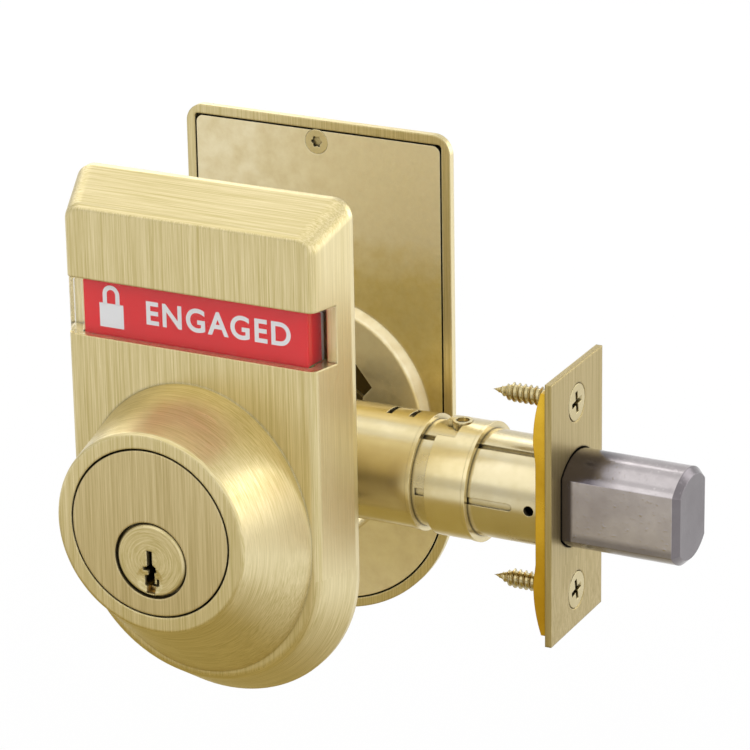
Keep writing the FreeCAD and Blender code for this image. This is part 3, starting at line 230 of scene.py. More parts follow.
def build_brushed_group():
    """Fine brushing: along Z on flat faces, along X on the top slope, round Y on cones."""
    group, start, end = new_group(
        "brushed_lines",
        [("Centre Z", "NodeSocketFloat", 0.0), ("Slope Z", "NodeSocketFloat", 0.0),
         ("Round All", "NodeSocketFloat", 0.0), ("Flat Depth", "NodeSocketFloat", 0.0)],
        [("Lines", "NodeSocketFloat"), ("Tone", "NodeSocketFloat"), ("Side", "NodeSocketFloat")],
    )
    x, y, z = [math_node(group, "MULTIPLY", value, 1.0 / MM)
               for value in split_coords(group, "Object")]
    facing_x, facing_y, facing_z = split_coords(group, "Normal")
    hard_y = math_node(group, "MULTIPLY", y, LINE_ACROSS)
    upright = combine(group, math_node(group, "MULTIPLY", x, LINE_ACROSS), hard_y,
                      math_node(group, "MULTIPLY", z, LINE_ALONG))
    level = combine(group, math_node(group, "MULTIPLY", x, LINE_ALONG), hard_y,
                    math_node(group, "MULTIPLY", z, LINE_ACROSS))
    proud = math_node(group, "LESS_THAN", y, start.outputs["Flat Depth"])
    drop = math_node(group, "SUBTRACT", start.outputs["Centre Z"], start.outputs["Slope Z"])
    centre = math_node(group, "MULTIPLY_ADD", proud, drop, start.outputs["Slope Z"])
    from_centre = math_node(group, "SUBTRACT", z, centre)
    radius = length_of_two(group, x, from_centre)
    angle = math_node(group, "ARCTAN2", x, from_centre)
    turned_lines = combine(group, math_node(group, "MULTIPLY", radius, LINE_ACROSS), hard_y,
                           math_node(group, "MULTIPLY", angle, LINE_AROUND))
    slanted = math_node(group, "LESS_THAN", math_node(group, "ABSOLUTE", facing_y), FLAT_FACING)
    top_slope = math_node(group, "GREATER_THAN", facing_z, SLOPE_FACING)
    high_up = math_node(group, "GREATER_THAN", z, TOP_SLOPE_Z)
    on_top = math_node(group, "MULTIPLY", top_slope, high_up)
    low_down = math_node(group, "LESS_THAN", z, start.outputs["Slope Z"])
    rounded = math_node(group, "MULTIPLY", slanted, math_node(group, "MAXIMUM", proud, low_down))
    rounded = math_node(group, "MAXIMUM", rounded, start.outputs["Round All"])
    vector = mix(group, "VECTOR", on_top, upright, level)
    vector = mix(group, "VECTOR", rounded, vector, turned_lines)
    fine = noise(group, vector, scale=1.0, detail=4.0, roughness=0.7)
    broad = noise(group, vector, scale=BROAD_SCALE, detail=2.0, roughness=0.5)
    lines = remap(group, fine, *NOISE_RANGE)
    clouds = math_node(group, "MULTIPLY", remap(group, broad, *BROAD_RANGE), 1.0 - LINE_SHARE)
    tone = math_node(group, "MULTIPLY_ADD", lines, LINE_SHARE, clouds)
    group.links.new(lines, end.inputs["Lines"])
    group.links.new(tone, end.inputs["Tone"])
    # Mask for the painted light on sides that face along X
    group.links.new(remap(group, facing_x, *LIT_FACING_X), end.inputs["Side"])
    return group


def build_mottle_group():
    """Soft cloudy variation with small specks, for metal that was never brushed."""
    group, start, end = new_group(
        "soft_mottle",
        [("Scale", "NodeSocketFloat", 1.0)],
        [("Cloud", "NodeSocketFloat"), ("Speck", "NodeSocketFloat")],
    )
    coords = group.nodes.new("ShaderNodeTexCoord")
    scaled = group.nodes.new("ShaderNodeVectorMath")
    scaled.operation = "SCALE"
    group.links.new(coords.outputs["Object"], scaled.inputs[0])
    group.links.new(start.outputs["Scale"], scaled.inputs["Scale"])
    cloud = noise(group, scaled.outputs[0], scale=70.0, detail=4.0, roughness=0.6)
    speck = noise(group, scaled.outputs[0], scale=900.0, detail=2.0, roughness=0.5)
    group.links.new(remap(group, cloud, *NOISE_RANGE), end.inputs["Cloud"])
    group.links.new(remap(group, speck, *SPECK_RANGE), end.inputs["Speck"])
    return group


# Least and most open sky over a point that counts as the corner's foot and as free of it, for the
# painted corner shade
CORNER_SKY = (0.35, 0.85)


def build_corner_group(name, own_only):
    """Painted shade: colour made darker in corners narrower than Depth, in a piece or also between
    pieces.
    """
    group, start, end = new_group(
        name,
        [("Color", "NodeSocketColor", None), ("Depth", "NodeSocketFloat", 1.0 * MM),
         ("Shade", "NodeSocketFloat", 0.3)],
        [("Color", "NodeSocketColor")],
    )
    # Whether other pieces count is a setting and no socket, so each kind is a group
    open_sky = group.nodes.new("ShaderNodeAmbientOcclusion")
    open_sky.samples = 6
    open_sky.only_local = own_only
    group.links.new(start.outputs["Depth"], open_sky.inputs["Distance"])
    lit = group.nodes.new("ShaderNodeMapRange")
    lit.inputs["From Min"].default_value, lit.inputs["From Max"].default_value = CORNER_SKY
    group.links.new(start.outputs["Shade"], lit.inputs["To Min"])
    group.links.new(open_sky.outputs["AO"], lit.inputs["Value"])
    dim = group.nodes.new("ShaderNodeVectorMath")
    dim.operation = "SCALE"
    group.links.new(start.outputs["Color"], dim.inputs[0])
    group.links.new(lit.outputs["Result"], dim.inputs["Scale"])
    group.links.new(dim.outputs[0], end.inputs["Color"])
    return group


BRUSHED = build_brushed_group()
MOTTLE = build_mottle_group()
PAINTED_CORNER_SHADE = build_corner_group("painted_corner_shade", False)
PAINTED_OWN_CORNER_SHADE = build_corner_group("painted_own_corner_shade", True)


def mix_shaders(tree, factor, first, second):
    """Blend of two shaders, led to the material's surface."""
    blend = tree.nodes.new("ShaderNodeMixShader")
    tree.links.new(factor, blend.inputs[0])
    tree.links.new(first.outputs[0], blend.inputs[1])
    tree.links.new(second.outputs[0], blend.inputs[2])
    tree.links.new(blend.outputs[0], tree.nodes["Material Output"].inputs["Surface"])


class Finish:
    """One material, with its shader and the few nodes that the finishes here share."""

    def __init__(self, name, metallic=0.0, roughness=0.5, **sockets):
        self.material = bpy.data.materials.new(name)
        self.material.use_nodes = True
        self.tree = self.material.node_tree
        self.shader = self.tree.nodes["Principled BSDF"]
        self.shader.inputs["Metallic"].default_value = metallic
        self.shader.inputs["Roughness"].default_value = roughness
        for socket, value in sockets.items():
            self.shader.inputs[socket.replace("_", " ")].default_value = value

    def group(self, group, **values):
        node = self.tree.nodes.new("ShaderNodeGroup")
        node.node_tree = group
        for label, value in values.items():
            node.inputs[label.replace("_", " ")].default_value = value
        return node

    def mottle(self, scale):
        outputs = self.group(MOTTLE, Scale=scale).outputs
        return outputs["Cloud"], outputs["Speck"]

    def color(self, socket):
        self.tree.links.new(socket, self.shader.inputs["Base Color"])

    def shaded_color(self, socket, depth, shade, corners=PAINTED_CORNER_SHADE):
        """Base colour, times painted shade in corners narrower than depth."""
        node = self.group(corners, Depth=depth, Shade=shade)
        self.tree.links.new(socket, node.inputs["Color"])
        self.color(node.outputs["Color"])

    def rough(self, socket):
        self.tree.links.new(socket, self.shader.inputs["Roughness"])

    def bump(self, height, strength, distance, edge_radius=None):
        node = self.tree.nodes.new("ShaderNodeBump")
        node.inputs["Strength"].default_value = strength
        node.inputs["Distance"].default_value = distance
        self.tree.links.new(height, node.inputs["Height"])
        if edge_radius:
            rounded = self.tree.nodes.new("ShaderNodeBevel")
            rounded.samples = 4
            rounded.inputs["Radius"].default_value = edge_radius
            self.tree.links.new(rounded.outputs[0], node.inputs["Normal"])
        self.tree.links.new(node.outputs[0], self.shader.inputs["Normal"])


def rgba(red, green, blue):
    return (red, green, blue, 1.0)


# Depths behind which painted shade makes the metal dark, and over which it sets in
PAINTED_SHADE_EDGE = 0.5 * MM
HOLLOW_SHADE_Y = inner_plate_back + 0.5 * MM
KEYWAY_Y = plug_low.y + 0.9 * MM
KEYWAY_FLOOR_Z = spindle_z - 5.9 * MM
KEYWAY_FLOOR_EDGE = 0.3 * MM
HOLLOW_SHADE_TONE = rgba(0.13, 0.095, 0.035)
KEYWAY_SHADE_TONE = rgba(0.045, 0.028, 0.008)
GILT_TONE = rgba(0.80, 0.50, 0.10)


def painted_hollow_shade(tree, tone):
    """Painted shade on the inside cover's front-facing walls behind the inner plate."""
    deep = remap(tree, split_coords(tree, "Object")[1], HOLLOW_SHADE_Y, HOLLOW_SHADE_Y + PAINTED_SHADE_EDGE)
    front = remap(tree, split_coords(tree, "Normal")[1], -0.4, -0.7)
    return mix_colors(tree, math_node(tree, "MULTIPLY", deep, front), tone, HOLLOW_SHADE_TONE)


def keyway_shade_and_gilt(tree, tone):
    """Painted shade on the walls and a gilt floor inside the plug's keyway."""
    place = split_coords(tree, "Object")
    deep = remap(tree, place[1], KEYWAY_Y, KEYWAY_Y + PAINTED_SHADE_EDGE)
    floor_top = KEYWAY_FLOOR_Z + KEYWAY_FLOOR_EDGE
    floor = remap(tree, place[2], KEYWAY_FLOOR_Z, floor_top, 1.0, 0.0)
    walls = mix_colors(tree, floor, KEYWAY_SHADE_TONE, GILT_TONE)
    return mix_colors(tree, deep, tone, walls)


# Brass of the covers, with painted light: lighter where it faces the bolt
BRASS_LIGHT = rgba(0.82, 0.705, 0.42)
BRASS_DARK = rgba(0.54, 0.445, 0.18)
PAINTED_LIGHT_TONE = rgba(0.95, 0.85, 0.55)
PAINTED_LIGHT_SHARE = 0.4

# In mm: middle of the cover's round lower edge, middle and foot of its cone, and no cone at all
SLOPE_Z = -13.0
CONE_Z = -2.5
CONE_FOOT_Y = -12.3
NO_CONE = -99.0


def brushed_brass(name, centre_z, round_all=0.0, flat_depth=NO_CONE, light=BRASS_LIGHT,
                  dark=BRASS_DARK, painted_light_share=PAINTED_LIGHT_SHARE, hollow=None, corners=PAINTED_CORNER_SHADE):
    """Brushed metal; hollow is a function that paints shade into the tone inside the piece."""
    finish = Finish(name, metallic=0.86)
    tree = finish.tree
    lines = finish.group(BRUSHED, Centre_Z=centre_z, Slope_Z=SLOPE_Z, Round_All=round_all,
                         Flat_Depth=flat_depth)
    tone = mix_colors(tree, lines.outputs["Tone"], dark, light)
    # Painted light: a lighter colour on faces that point along X
    if painted_light_share:
        side = math_node(tree, "MULTIPLY", lines.outputs["Side"], painted_light_share)
        tone = mix_colors(tree, side, tone, PAINTED_LIGHT_TONE)
    if hollow:
        tone = hollow(tree, tone)
    finish.shaded_color(tone, depth=0.9 * MM, shade=0.25, corners=corners)
    finish.rough(remap(tree, lines.outputs["Tone"], 0.0, 1.0, 0.40, 0.27))
    finish.bump(lines.outputs["Lines"], strength=0.45, distance=0.03 * MM, edge_radius=0.5 * MM)
    return finish.material


def polished_brass(name, light, dark, roughness):
    finish = Finish(name, metallic=0.94)
    cloud, _ = finish.mottle(scale=1.6)
    tone = mix_colors(finish.tree, cloud, dark, light)
    finish.shaded_color(tone, depth=0.9 * MM, shade=0.12)
    finish.rough(remap(finish.tree, cloud, 0.0, 1.0, roughness * 1.3, roughness * 0.8))
    finish.bump(cloud, strength=0.14, distance=0.06 * MM, edge_radius=0.18 * MM)
    return finish.material


def plain_metal(name, light, dark, rough_low, rough_high):
    finish = Finish(name, metallic=1.0)
    cloud, speck = finish.mottle(scale=1.0)
    tone = mix_colors(finish.tree, cloud, dark, light)
    finish.shaded_color(tone, depth=1.4 * MM, shade=0.06)
    finish.rough(remap(finish.tree, cloud, 0.0, 1.0, rough_high, rough_low))
    finish.bump(speck, strength=0.15, distance=0.04 * MM, edge_radius=0.2 * MM)
    return finish.material


# Painted reflection on the inner sheet: its greatest share, its uneven edge, and its top and foot
REFLECTION_SHARE = 0.8
REFLECTION_UNEVEN = 2.0 * MM
REFLECTION_TOP = (42.0 * MM, 31.0 * MM)
REFLECTION_FOOT = (-18.0 * MM, -8.0 * MM)
BOSS_EDGE = (26.0 * MM, 26.6 * MM)


def inner_sheet():
    """Mottled pale sheet with a painted reflection: a wide golden band across its middle, beside
    the boss.
    """
    finish = Finish("inner_sheet", metallic=0.88)
    tree = finish.tree
    cloud, speck = finish.mottle(scale=3.2)
    plain = mix_colors(tree, cloud, rgba(0.84, 0.73, 0.46), rgba(0.95, 0.86, 0.60))
    reflected_gold = mix_colors(tree, cloud, rgba(0.66, 0.51, 0.14), rgba(0.80, 0.66, 0.26))
    place = split_coords(tree, "Object")
    uneven = remap(tree, cloud, 0.0, 1.0, -REFLECTION_UNEVEN, REFLECTION_UNEVEN)
    height = math_node(tree, "ADD", place[2], uneven)
    under_top = remap(tree, height, *REFLECTION_TOP)
    over_foot = remap(tree, height, *REFLECTION_FOOT)
    from_middle = length_of_two(tree, place[0], place[2])
    off_boss = remap(tree, from_middle, *BOSS_EDGE, 0.0, REFLECTION_SHARE)
    # Painted reflection: the golden band, kept off the boss
    band = math_node(tree, "MULTIPLY", under_top, over_foot)
    share = math_node(tree, "MULTIPLY", band, off_boss)
    finish.shaded_color(mix_colors(tree, share, plain, reflected_gold), depth=1.4 * MM, shade=0.06)
    finish.rough(remap(tree, cloud, 0.0, 1.0, 0.54, 0.36))
    finish.bump(speck, strength=0.5, distance=0.04 * MM, edge_radius=0.2 * MM)
    return finish.material


BOLT_END_SHADE = 0.74
BOLT_FOOT_SHADE = 0.55


def hardened_bolt():
    """Grey plated bolt with painted shade and a painted dark reflection: darker beside the
    faceplate, on its end and along its lower edge.
    """
    finish = Finish("bolt_steel", metallic=0.95)
    tree = finish.tree
    cloud, speck = finish.mottle(scale=1.4)
    plain = mix_colors(tree, cloud, rgba(0.37, 0.335, 0.34), rgba(0.50, 0.465, 0.465))
    place = split_coords(tree, "Object")
    facing = split_coords(tree, "Normal")
    plate_x = plate_high.x
    # Painted dark reflection of the faceplate: right beside it, and on the top face near it
    beside = remap(tree, place[0], plate_x + 1.9 * MM, plate_x + 2.6 * MM, 1.0, 0.0)
    near = remap(tree, place[0], plate_x + 6.0 * MM, plate_x + 12.0 * MM, 1.0, 0.0)
    on_top = math_node(tree, "MULTIPLY", near, remap(tree, facing[2], 0.35, 0.6))
    # Painted shade on the end face and along the lower edge
    end = remap(tree, facing[0], 0.2, 0.5, 0.0, BOLT_END_SHADE)
    foot = remap(tree, place[2], -5.6 * MM, -4.4 * MM, BOLT_FOOT_SHADE, 0.0)
    dark = largest(tree, beside, on_top, end, foot)
    # Dark purplish tone of the painted shade and reflection
    tone = mix_colors(tree, dark, plain, rgba(0.10, 0.088, 0.10))
    finish.shaded_color(tone, depth=0.8 * MM, shade=0.2)
    finish.rough(remap(tree, cloud, 0.0, 1.0, 0.24, 0.12))
    finish.bump(speck, strength=0.35, distance=0.05 * MM, edge_radius=0.3 * MM)
    return finish.material


def moulded_plastic(name, light, dark, roughness):
    finish = Finish(name, roughness=roughness, Specular_IOR_Level=0.25)
    cloud, speck = finish.mottle(scale=1.0)
    finish.color(mix_colors(finish.tree, cloud, dark, light))
    finish.rough(remap(finish.tree, cloud, 0.0, 1.0, roughness * 0.85, roughness * 1.1))
    finish.bump(speck, strength=0.1, distance=0.03 * MM)
    return finish.material


def clear_plastic():
    """Clear moulding that lets the lamps' light through to the sign behind it."""
    finish = Finish("clear_lens", roughness=0.02, IOR=1.05, Transmission_Weight=1.0,
                    Coat_Weight=0.45)
    tree = finish.tree
    cloud, _ = finish.mottle(scale=0.4)
    finish.color(mix_colors(tree, cloud, rgba(0.97, 0.98, 0.97), rgba(1.0, 1.0, 1.0)))
    finish.bump(cloud, strength=0.02, distance=0.05 * MM)
    rays = tree.nodes.new("ShaderNodeLightPath")
    open_way = tree.nodes.new("ShaderNodeBsdfTransparent")
    mix_shaders(tree, rays.outputs["Is Shadow Ray"], finish.shader, open_way)
    return finish.material


materials = {
    "cover_brass": brushed_brass("cover_brass", CONE_Z, flat_depth=CONE_FOOT_Y,
                                 corners=PAINTED_OWN_CORNER_SHADE),
    "inside_brass": brushed_brass("inside_brass", spindle_z / MM, hollow=painted_hollow_shade),
    "cylinder_brass": brushed_brass("cylinder_brass", 0.0, light=rgba(0.74, 0.62, 0.35),
                                    dark=rgba(0.50, 0.40, 0.18)),
    "plug_brass": brushed_brass("plug_brass", spindle_z / MM, round_all=1.0, flat_depth=0.0,
                                hollow=keyway_shade_and_gilt),
    "plate_brass": brushed_brass("plate_brass", 0.0, light=rgba(0.54, 0.43, 0.20),
                                 dark=rgba(0.34, 0.26, 0.09), painted_light_share=0.0),
    "inner_sheet": inner_sheet(),
    "bolt_steel": hardened_bolt(),
    "clear_lens": clear_plastic(),
}

# Name: lighter colour, darker colour, and the roughness or its least and most
plain_finishes = (
    (polished_brass, {
        "barrel_brass": (rgba(0.77, 0.67, 0.41), rgba(0.68, 0.57, 0.31), 0.20),
        # The front barrel's brass is the barrel brass made darker: painted shade that tones down
        # the lamp's highlight
        "front_barrel_shaded_brass": (rgba(0.70, 0.62, 0.41), rgba(0.62, 0.53, 0.31), 0.22),
    }),
    (plain_metal, {
        "bare_brass": (rgba(0.76, 0.56, 0.20), rgba(0.66, 0.44, 0.12), 0.22, 0.34),
        "edge_screw_brass": (rgba(0.68, 0.58, 0.33), rgba(0.54, 0.45, 0.23), 0.20, 0.32),
        "screw_brass": (rgba(0.80, 0.72, 0.48), rgba(0.66, 0.56, 0.32), 0.16, 0.28),
        "yellow_plating": (rgba(0.82, 0.52, 0.05), rgba(0.58, 0.33, 0.02), 0.20, 0.35),
        "plated_sheet": (rgba(0.80, 0.74, 0.54), rgba(0.68, 0.60, 0.40), 0.40, 0.55),
        "bright_steel": (rgba(0.62, 0.62, 0.62), rgba(0.48, 0.48, 0.48), 0.20, 0.35),
    }),
    (moulded_plastic, {
        "red_sign": (rgba(0.70, 0.004, 0.008), rgba(0.64, 0.003, 0.007), 0.45),
        "green_sign": (rgba(0.02, 0.30, 0.09), rgba(0.015, 0.24, 0.07), 0.45),
        "white_print": (rgba(0.74, 0.74, 0.76), rgba(0.70, 0.70, 0.72), 0.50),
        "white_plastic": (rgba(0.80, 0.80, 0.78), rgba(0.74, 0.74, 0.72), 0.42),
        "black_plastic": (rgba(0.03, 0.03, 0.03), rgba(0.02, 0.02, 0.02), 0.40),
    }),
)
for make_finish, rows in plain_finishes:
    for name, values in rows.items():
        materials[name] = make_finish(name, *values)

node_finish = {
    "escutcheon": "cover_brass", "window_lens": "clear_lens",
    "indicator_back_plate": "plated_sheet", "back_plate_screws": "bright_steel",
    "cylinder_body": "cylinder_brass", "cylinder_screws": "bright_steel",
    "chamber_cap": "bare_brass", "driver_pins": "bare_brass", "pin_springs": "bright_steel",
    "rear_housing": "barrel_brass", "front_barrel": "front_barrel_shaded_brass",
    "collar_band": "barrel_brass", "collar_rivet": "barrel_brass",
    "backing_plate": "yellow_plating", "faceplate": "plate_brass",
    "faceplate_screws": "screw_brass", "inner_plate": "inner_sheet",
    "inside_cover": "inside_brass", "cover_screws": "screw_brass",
    "through_bolts": "screw_brass", "thumbturn_bushing": "black_plastic",
    "pinion": "white_plastic", "tailpiece": "bright_steel", "crank": "bright_steel",
    "crank_pin": "bright_steel", "thumbturn": "inside_brass", "thumbturn_clip": "bright_steel",
    "deadbolt": "bolt_steel", "bolt_tail": "bright_steel", "tail_rivet": "bright_steel",
    "indicator_slide": "white_plastic", "locked_sign": "red_sign", "vacant_sign": "green_sign",
    "plug": "plug_brass", "plug_clip": "bright_steel", "bottom_pins": "bare_brass",
    "saw_roller": "bolt_steel",
}


def dress_nodes():
    for name, finish in node_finish.items():
        for slot in nodes[name].material_slots:
            slot.material = materials[finish]


# Pieces

FACE_OUT = Matrix.Rotation(math.pi / 2.0, 4, "X")
FACE_IN = Matrix.Rotation(-math.pi / 2.0, 4, "X")
FACE_EDGE = Matrix.Rotation(math.pi / 2.0, 4, "Y")


def box_piece(size, middle):
    bpy.ops.mesh.primitive_cube_add(size=1.0)
    box = bpy.context.object
    box.scale = size
    box.location = middle
    place_mesh(box)
    return box


def turned(steps, vertices=48):
    """Round piece up the Z axis, from its first disc through (radius, height) steps."""
    radius, height = steps[0]
    bpy.ops.mesh.primitive_circle_add(vertices=vertices, radius=radius, fill_type="NGON",
                                      location=(0.0, 0.0, height))
    piece = bpy.context.object
    place_mesh(piece)
    bpy.ops.object.mode_set(mode="EDIT")
    bpy.ops.mesh.select_all(action="SELECT")
    for next_radius, next_height in steps[1:]:
        bpy.ops.mesh.extrude_region_move(
            TRANSFORM_OT_translate={"value": (0.0, 0.0, next_height - height)})
        growth = next_radius / radius
        bpy.ops.transform.resize(value=(growth, growth, 1.0),
                                 center_override=(0.0, 0.0, next_height))
        radius, height = next_radius, next_height
    bpy.ops.mesh.select_all(action="SELECT")
    bpy.ops.mesh.normals_make_consistent(inside=False)
    bpy.ops.object.mode_set(mode="OBJECT")
    return piece


# Thread: how deep its ridge starts for the core's radius, and half its foot for the pitch
RIDGE_SUNK = 0.9
RIDGE_HALF = 0.30
MERGE_DISTANCE = 1e-6


def thread_ridge(foot, length, pitch, root, crest, steps=20):
    """Helical ridge up the Z axis from height foot, closed at both ends."""
    bpy.ops.mesh.primitive_circle_add(vertices=3, radius=1.0, fill_type="NGON")
    ridge = bpy.context.object
    low = root * RIDGE_SUNK
    half = RIDGE_HALF * pitch
    for vertex, (out, up) in zip(ridge.data.vertices, ((low, -half), (crest, 0.0), (low, half))):
        vertex.co = (out, 0.0, up)
    apply_modifier(ridge, "SCREW", axis="Z", angle=2.0 * math.pi, screw_offset=pitch,
                   iterations=int(length / pitch), steps=steps, render_steps=steps,
                   use_smooth_shade=False)
    pick(ridge)
    bpy.ops.object.mode_set(mode="EDIT")
    bpy.ops.mesh.select_all(action="SELECT")
    bpy.ops.mesh.remove_doubles(threshold=MERGE_DISTANCE)
    bpy.ops.mesh.normals_make_consistent(inside=False)
    bpy.ops.object.mode_set(mode="OBJECT")
    ridge.location.z = foot
    place_mesh(ridge)
    return ridge


# Cross recess: an arm's width for its length, what is left of both at its foot, and how far
# the cutter stands out above the head for its depth
CROSS_WIDTH = 0.23
CROSS_FOOT_LENGTH = 0.42
CROSS_FOOT_WIDTH = 0.60
CROSS_OVER = 0.1


def cross_cutter(size, depth, top):
    """Tapered cross for a screw's drive, from a little above top down to top - depth."""
    height = depth * (1.0 + CROSS_OVER)
    middle = top - depth * (1.0 - CROSS_OVER) / 2.0
    arms = []
    for turn in (0.0, math.pi / 2.0):
        arm = box_piece((size, size * CROSS_WIDTH, height), (0.0, 0.0, middle))
        for vertex in arm.data.vertices:
            if vertex.co.z < middle:
                vertex.co.x *= CROSS_FOOT_LENGTH
                vertex.co.y *= CROSS_FOOT_WIDTH
        arm.rotation_euler.z = turn
        place_mesh(arm)
        arms.append(arm)
    return arms


LOBES = 6
LOBE_DEPTH = 0.14
STAR_OVER = 0.2


def star_cutter(radius, depth):
    """Six-lobed socket for a screw's drive, in a head whose top is at the origin."""
    middle = -depth * (1.0 - STAR_OVER) / 2.0
    bpy.ops.mesh.primitive_cylinder_add(vertices=24, radius=radius,
                                        depth=depth * (1.0 + STAR_OVER),
                                        location=(0.0, 0.0, middle))
    cutter = bpy.context.object
    place_mesh(cutter)
    for vertex in cutter.data.vertices:
        angle = math.atan2(vertex.co.y, vertex.co.x)
        pull = 1.0 - LOBE_DEPTH + LOBE_DEPTH * math.cos(LOBES * angle)
        vertex.co.x *= pull
        vertex.co.y *= pull
    return [cutter]


def cut_with(piece, cutters):
    for cutter in cutters:
        apply_modifier(piece, "BOOLEAN", operation="DIFFERENCE", object=cutter, solver="EXACT")
        bpy.data.objects.remove(cutter)


def screw_head(steps, cutters):
    head = turned(steps)
    cut_with(head, cutters)
    return head


def set_screw(screw, name, place, facing, turn, finish, node):
    """Stands a screw at its place, with its top toward facing and its recess at turn."""
    screw.matrix_world = Matrix.Translation(place) @ facing @ Matrix.Rotation(turn, 4, "Z")
    finish_piece(screw, name, finish, "lock", node)


EDGE_PITCH = 1.25 * MM
EDGE_CORE = 1.55 * MM
EDGE_CREST = 2.05 * MM
EDGE_TAPER = 4.0 * MM
EDGE_POINT = 0.04
EDGE_HEAD_DEPTH = 2.4 * MM
EDGE_RIM = 0.38 * MM
EDGE_RECESS = 5.0 * MM
EDGE_RECESS_DEPTH = EDGE_HEAD_DEPTH * 0.85
EDGE_PLAIN = EDGE_HEAD_DEPTH * 1.5
EDGE_TURNS = (0.12, 0.2)


def wood_screw(length, head_radius):
    """Screw along Z with its head's flat top at the origin and its point at -length."""
    shank = turned([(EDGE_CORE, -length), (EDGE_CORE, -length + EDGE_TAPER),
                    (EDGE_CORE, -EDGE_HEAD_DEPTH)], vertices=32)
    ridge = thread_ridge(-length, length - EDGE_PLAIN, EDGE_PITCH, EDGE_CORE, EDGE_CREST)
    thread = join([shank, ridge])
    for vertex in thread.data.vertices:
        above = vertex.co.z + length
        if above < EDGE_TAPER:
            shrink = max(above / EDGE_TAPER, EDGE_POINT)
            vertex.co.x *= shrink
            vertex.co.y *= shrink
    head = screw_head([(EDGE_CORE, -EDGE_HEAD_DEPTH), (head_radius, -1.5 * EDGE_RIM),
                       (head_radius - EDGE_RIM, 0.0)],
                      cross_cutter(EDGE_RECESS, EDGE_RECESS_DEPTH, top=0.0))
    return join([thread, head])


def edge_screws():
    """Wood screws through the faceplate."""
    head_radius = (edge_screw_high.y - edge_screw_low.y) / 2.0
    heights = (edge_screw_high.z - head_radius, edge_screw_low.z + head_radius)
    for index, (z, turn) in enumerate(zip(heights, EDGE_TURNS)):
        screw = wood_screw(edge_screw_high.x - edge_screw_low.x, head_radius)
        set_screw(screw, "edge_screw_%d" % (index + 1), (edge_screw_high.x, door_middle, z),
                  FACE_EDGE, turn, "edge_screw_brass", "faceplate_screws")


def small_screw(length, radius, cutters, core, crest, pitch, plain, neck, head_depth, rim,
                vertices, steps):
    """Countersunk screw below the origin; its thread starts plain below the head's top."""
    shank = turned([(core, -length), (core, -neck)], vertices)
    ridge = thread_ridge(-length, length - plain, pitch, core, crest, steps)
    head = screw_head([(core, -head_depth), (radius, -rim), (radius - rim, 0.0)], cutters)
    return join([shank, ridge, head])


INNER_SCREW = {
    "core": 1.3 * MM, "crest": 1.5 * MM, "pitch": 0.8 * MM, "plain": 1.4 * MM, "neck": 0.9 * MM,
    "head_depth": 1.1 * MM, "rim": 0.12 * MM, "vertices": 32, "steps": 20,
}


def inner_screws():
    """Screws with a six-lobed socket that hold the inner plate to its cover."""
    radius = (cover_screw_high.x - cover_screw_low.x) / 2.0
    length = cover_screw_high.y - cover_screw_low.y
    for index, z in enumerate((cover_screw_high.z - radius, cover_screw_low.z + radius)):
        screw = small_screw(length, radius, star_cutter(radius=1.35 * MM, depth=0.8 * MM),
                            **INNER_SCREW)
        set_screw(screw, "inner_screw_%d" % (index + 1), (0.0, cover_screw_low.y, z), FACE_OUT,
                  0.0, "screw_brass", "cover_screws")


CLAMP_HEAD = 4.4 * MM
CLAMP_CORE = 2.1 * MM
CLAMP_WHOLE = 2.4 * MM
CLAMP_NECK = 2.0 * MM
CLAMP_THREAD = 24.0 * MM
CLAMP_PITCH = 0.9 * MM
CLAMP_TURN = 0.4
# Oval head: share of its radius, and of its crown's height
CLAMP_OVAL = ((1.0, 0.0), (0.93, 0.30), (0.72, 0.66), (0.40, 0.92), (0.12, 1.0))


def clamp_bolts():
    """Long bolts with oval heads, threaded at the end that reaches the outside cover."""
    length = inside_face - through_low.y
    reach = through_high.x - CLAMP_HEAD
    thread_top = -length + CLAMP_THREAD
    oval = [(CLAMP_HEAD * out, THROUGH_CROWN * up) for out, up in CLAMP_OVAL]
    for index, side in enumerate((-1.0, 1.0)):
        shank = turned([(CLAMP_CORE, -length), (CLAMP_CORE, thread_top), (CLAMP_WHOLE, thread_top),
                        (CLAMP_WHOLE, -CLAMP_NECK)], vertices=32)
        ridge = thread_ridge(-length, CLAMP_THREAD, CLAMP_PITCH, CLAMP_CORE, CLAMP_WHOLE)
        head = screw_head([(CLAMP_WHOLE, -CLAMP_NECK)] + oval,
                          cross_cutter(size=4.3 * MM, depth=2.2 * MM, top=THROUGH_CROWN))
        set_screw(join([shank, ridge, head]), "clamp_bolt_%d" % (index + 1),
                  (side * reach, inside_face, -side * reach), FACE_IN, CLAMP_TURN * side,
                  "screw_brass", "through_bolts")


BACK_SCREW = {
    "core": 1.0 * MM, "crest": 1.2 * MM, "pitch": 0.7 * MM, "plain": 1.2 * MM, "neck": 0.8 * MM,
    "head_depth": 0.95 * MM, "rim": 0.1 * MM, "vertices": 24, "steps": 16,
}
BACK_SCREW_RADIUS = 2.2 * MM
BACK_SCREW_LOW_X = 12.07 * MM
BACK_SCREW_TURN = 0.5


def back_screws():
    """Cross screws that hold the outside cover's back plate, each turned another way."""
    length = back_screw_high.y - back_screw_low.y
    top_x = back_screw_high.x - BACK_SCREW_RADIUS
    top_z = back_screw_high.z - BACK_SCREW_RADIUS
    low_z = back_screw_low.z + BACK_SCREW_RADIUS
    places = ((-top_x, top_z), (top_x, top_z),
              (-BACK_SCREW_LOW_X, low_z), (BACK_SCREW_LOW_X, low_z))
    for index, (x, z) in enumerate(places):
        cutters = cross_cutter(size=2.5 * MM, depth=0.8 * MM, top=0.0)
        screw = small_screw(length, BACK_SCREW_RADIUS, cutters, **BACK_SCREW)
        set_screw(screw, "back_screw_%d" % (index + 1), (x, back_screw_high.y, z), FACE_IN,
                  BACK_SCREW_TURN + index, "bright_steel", "back_plate_screws")


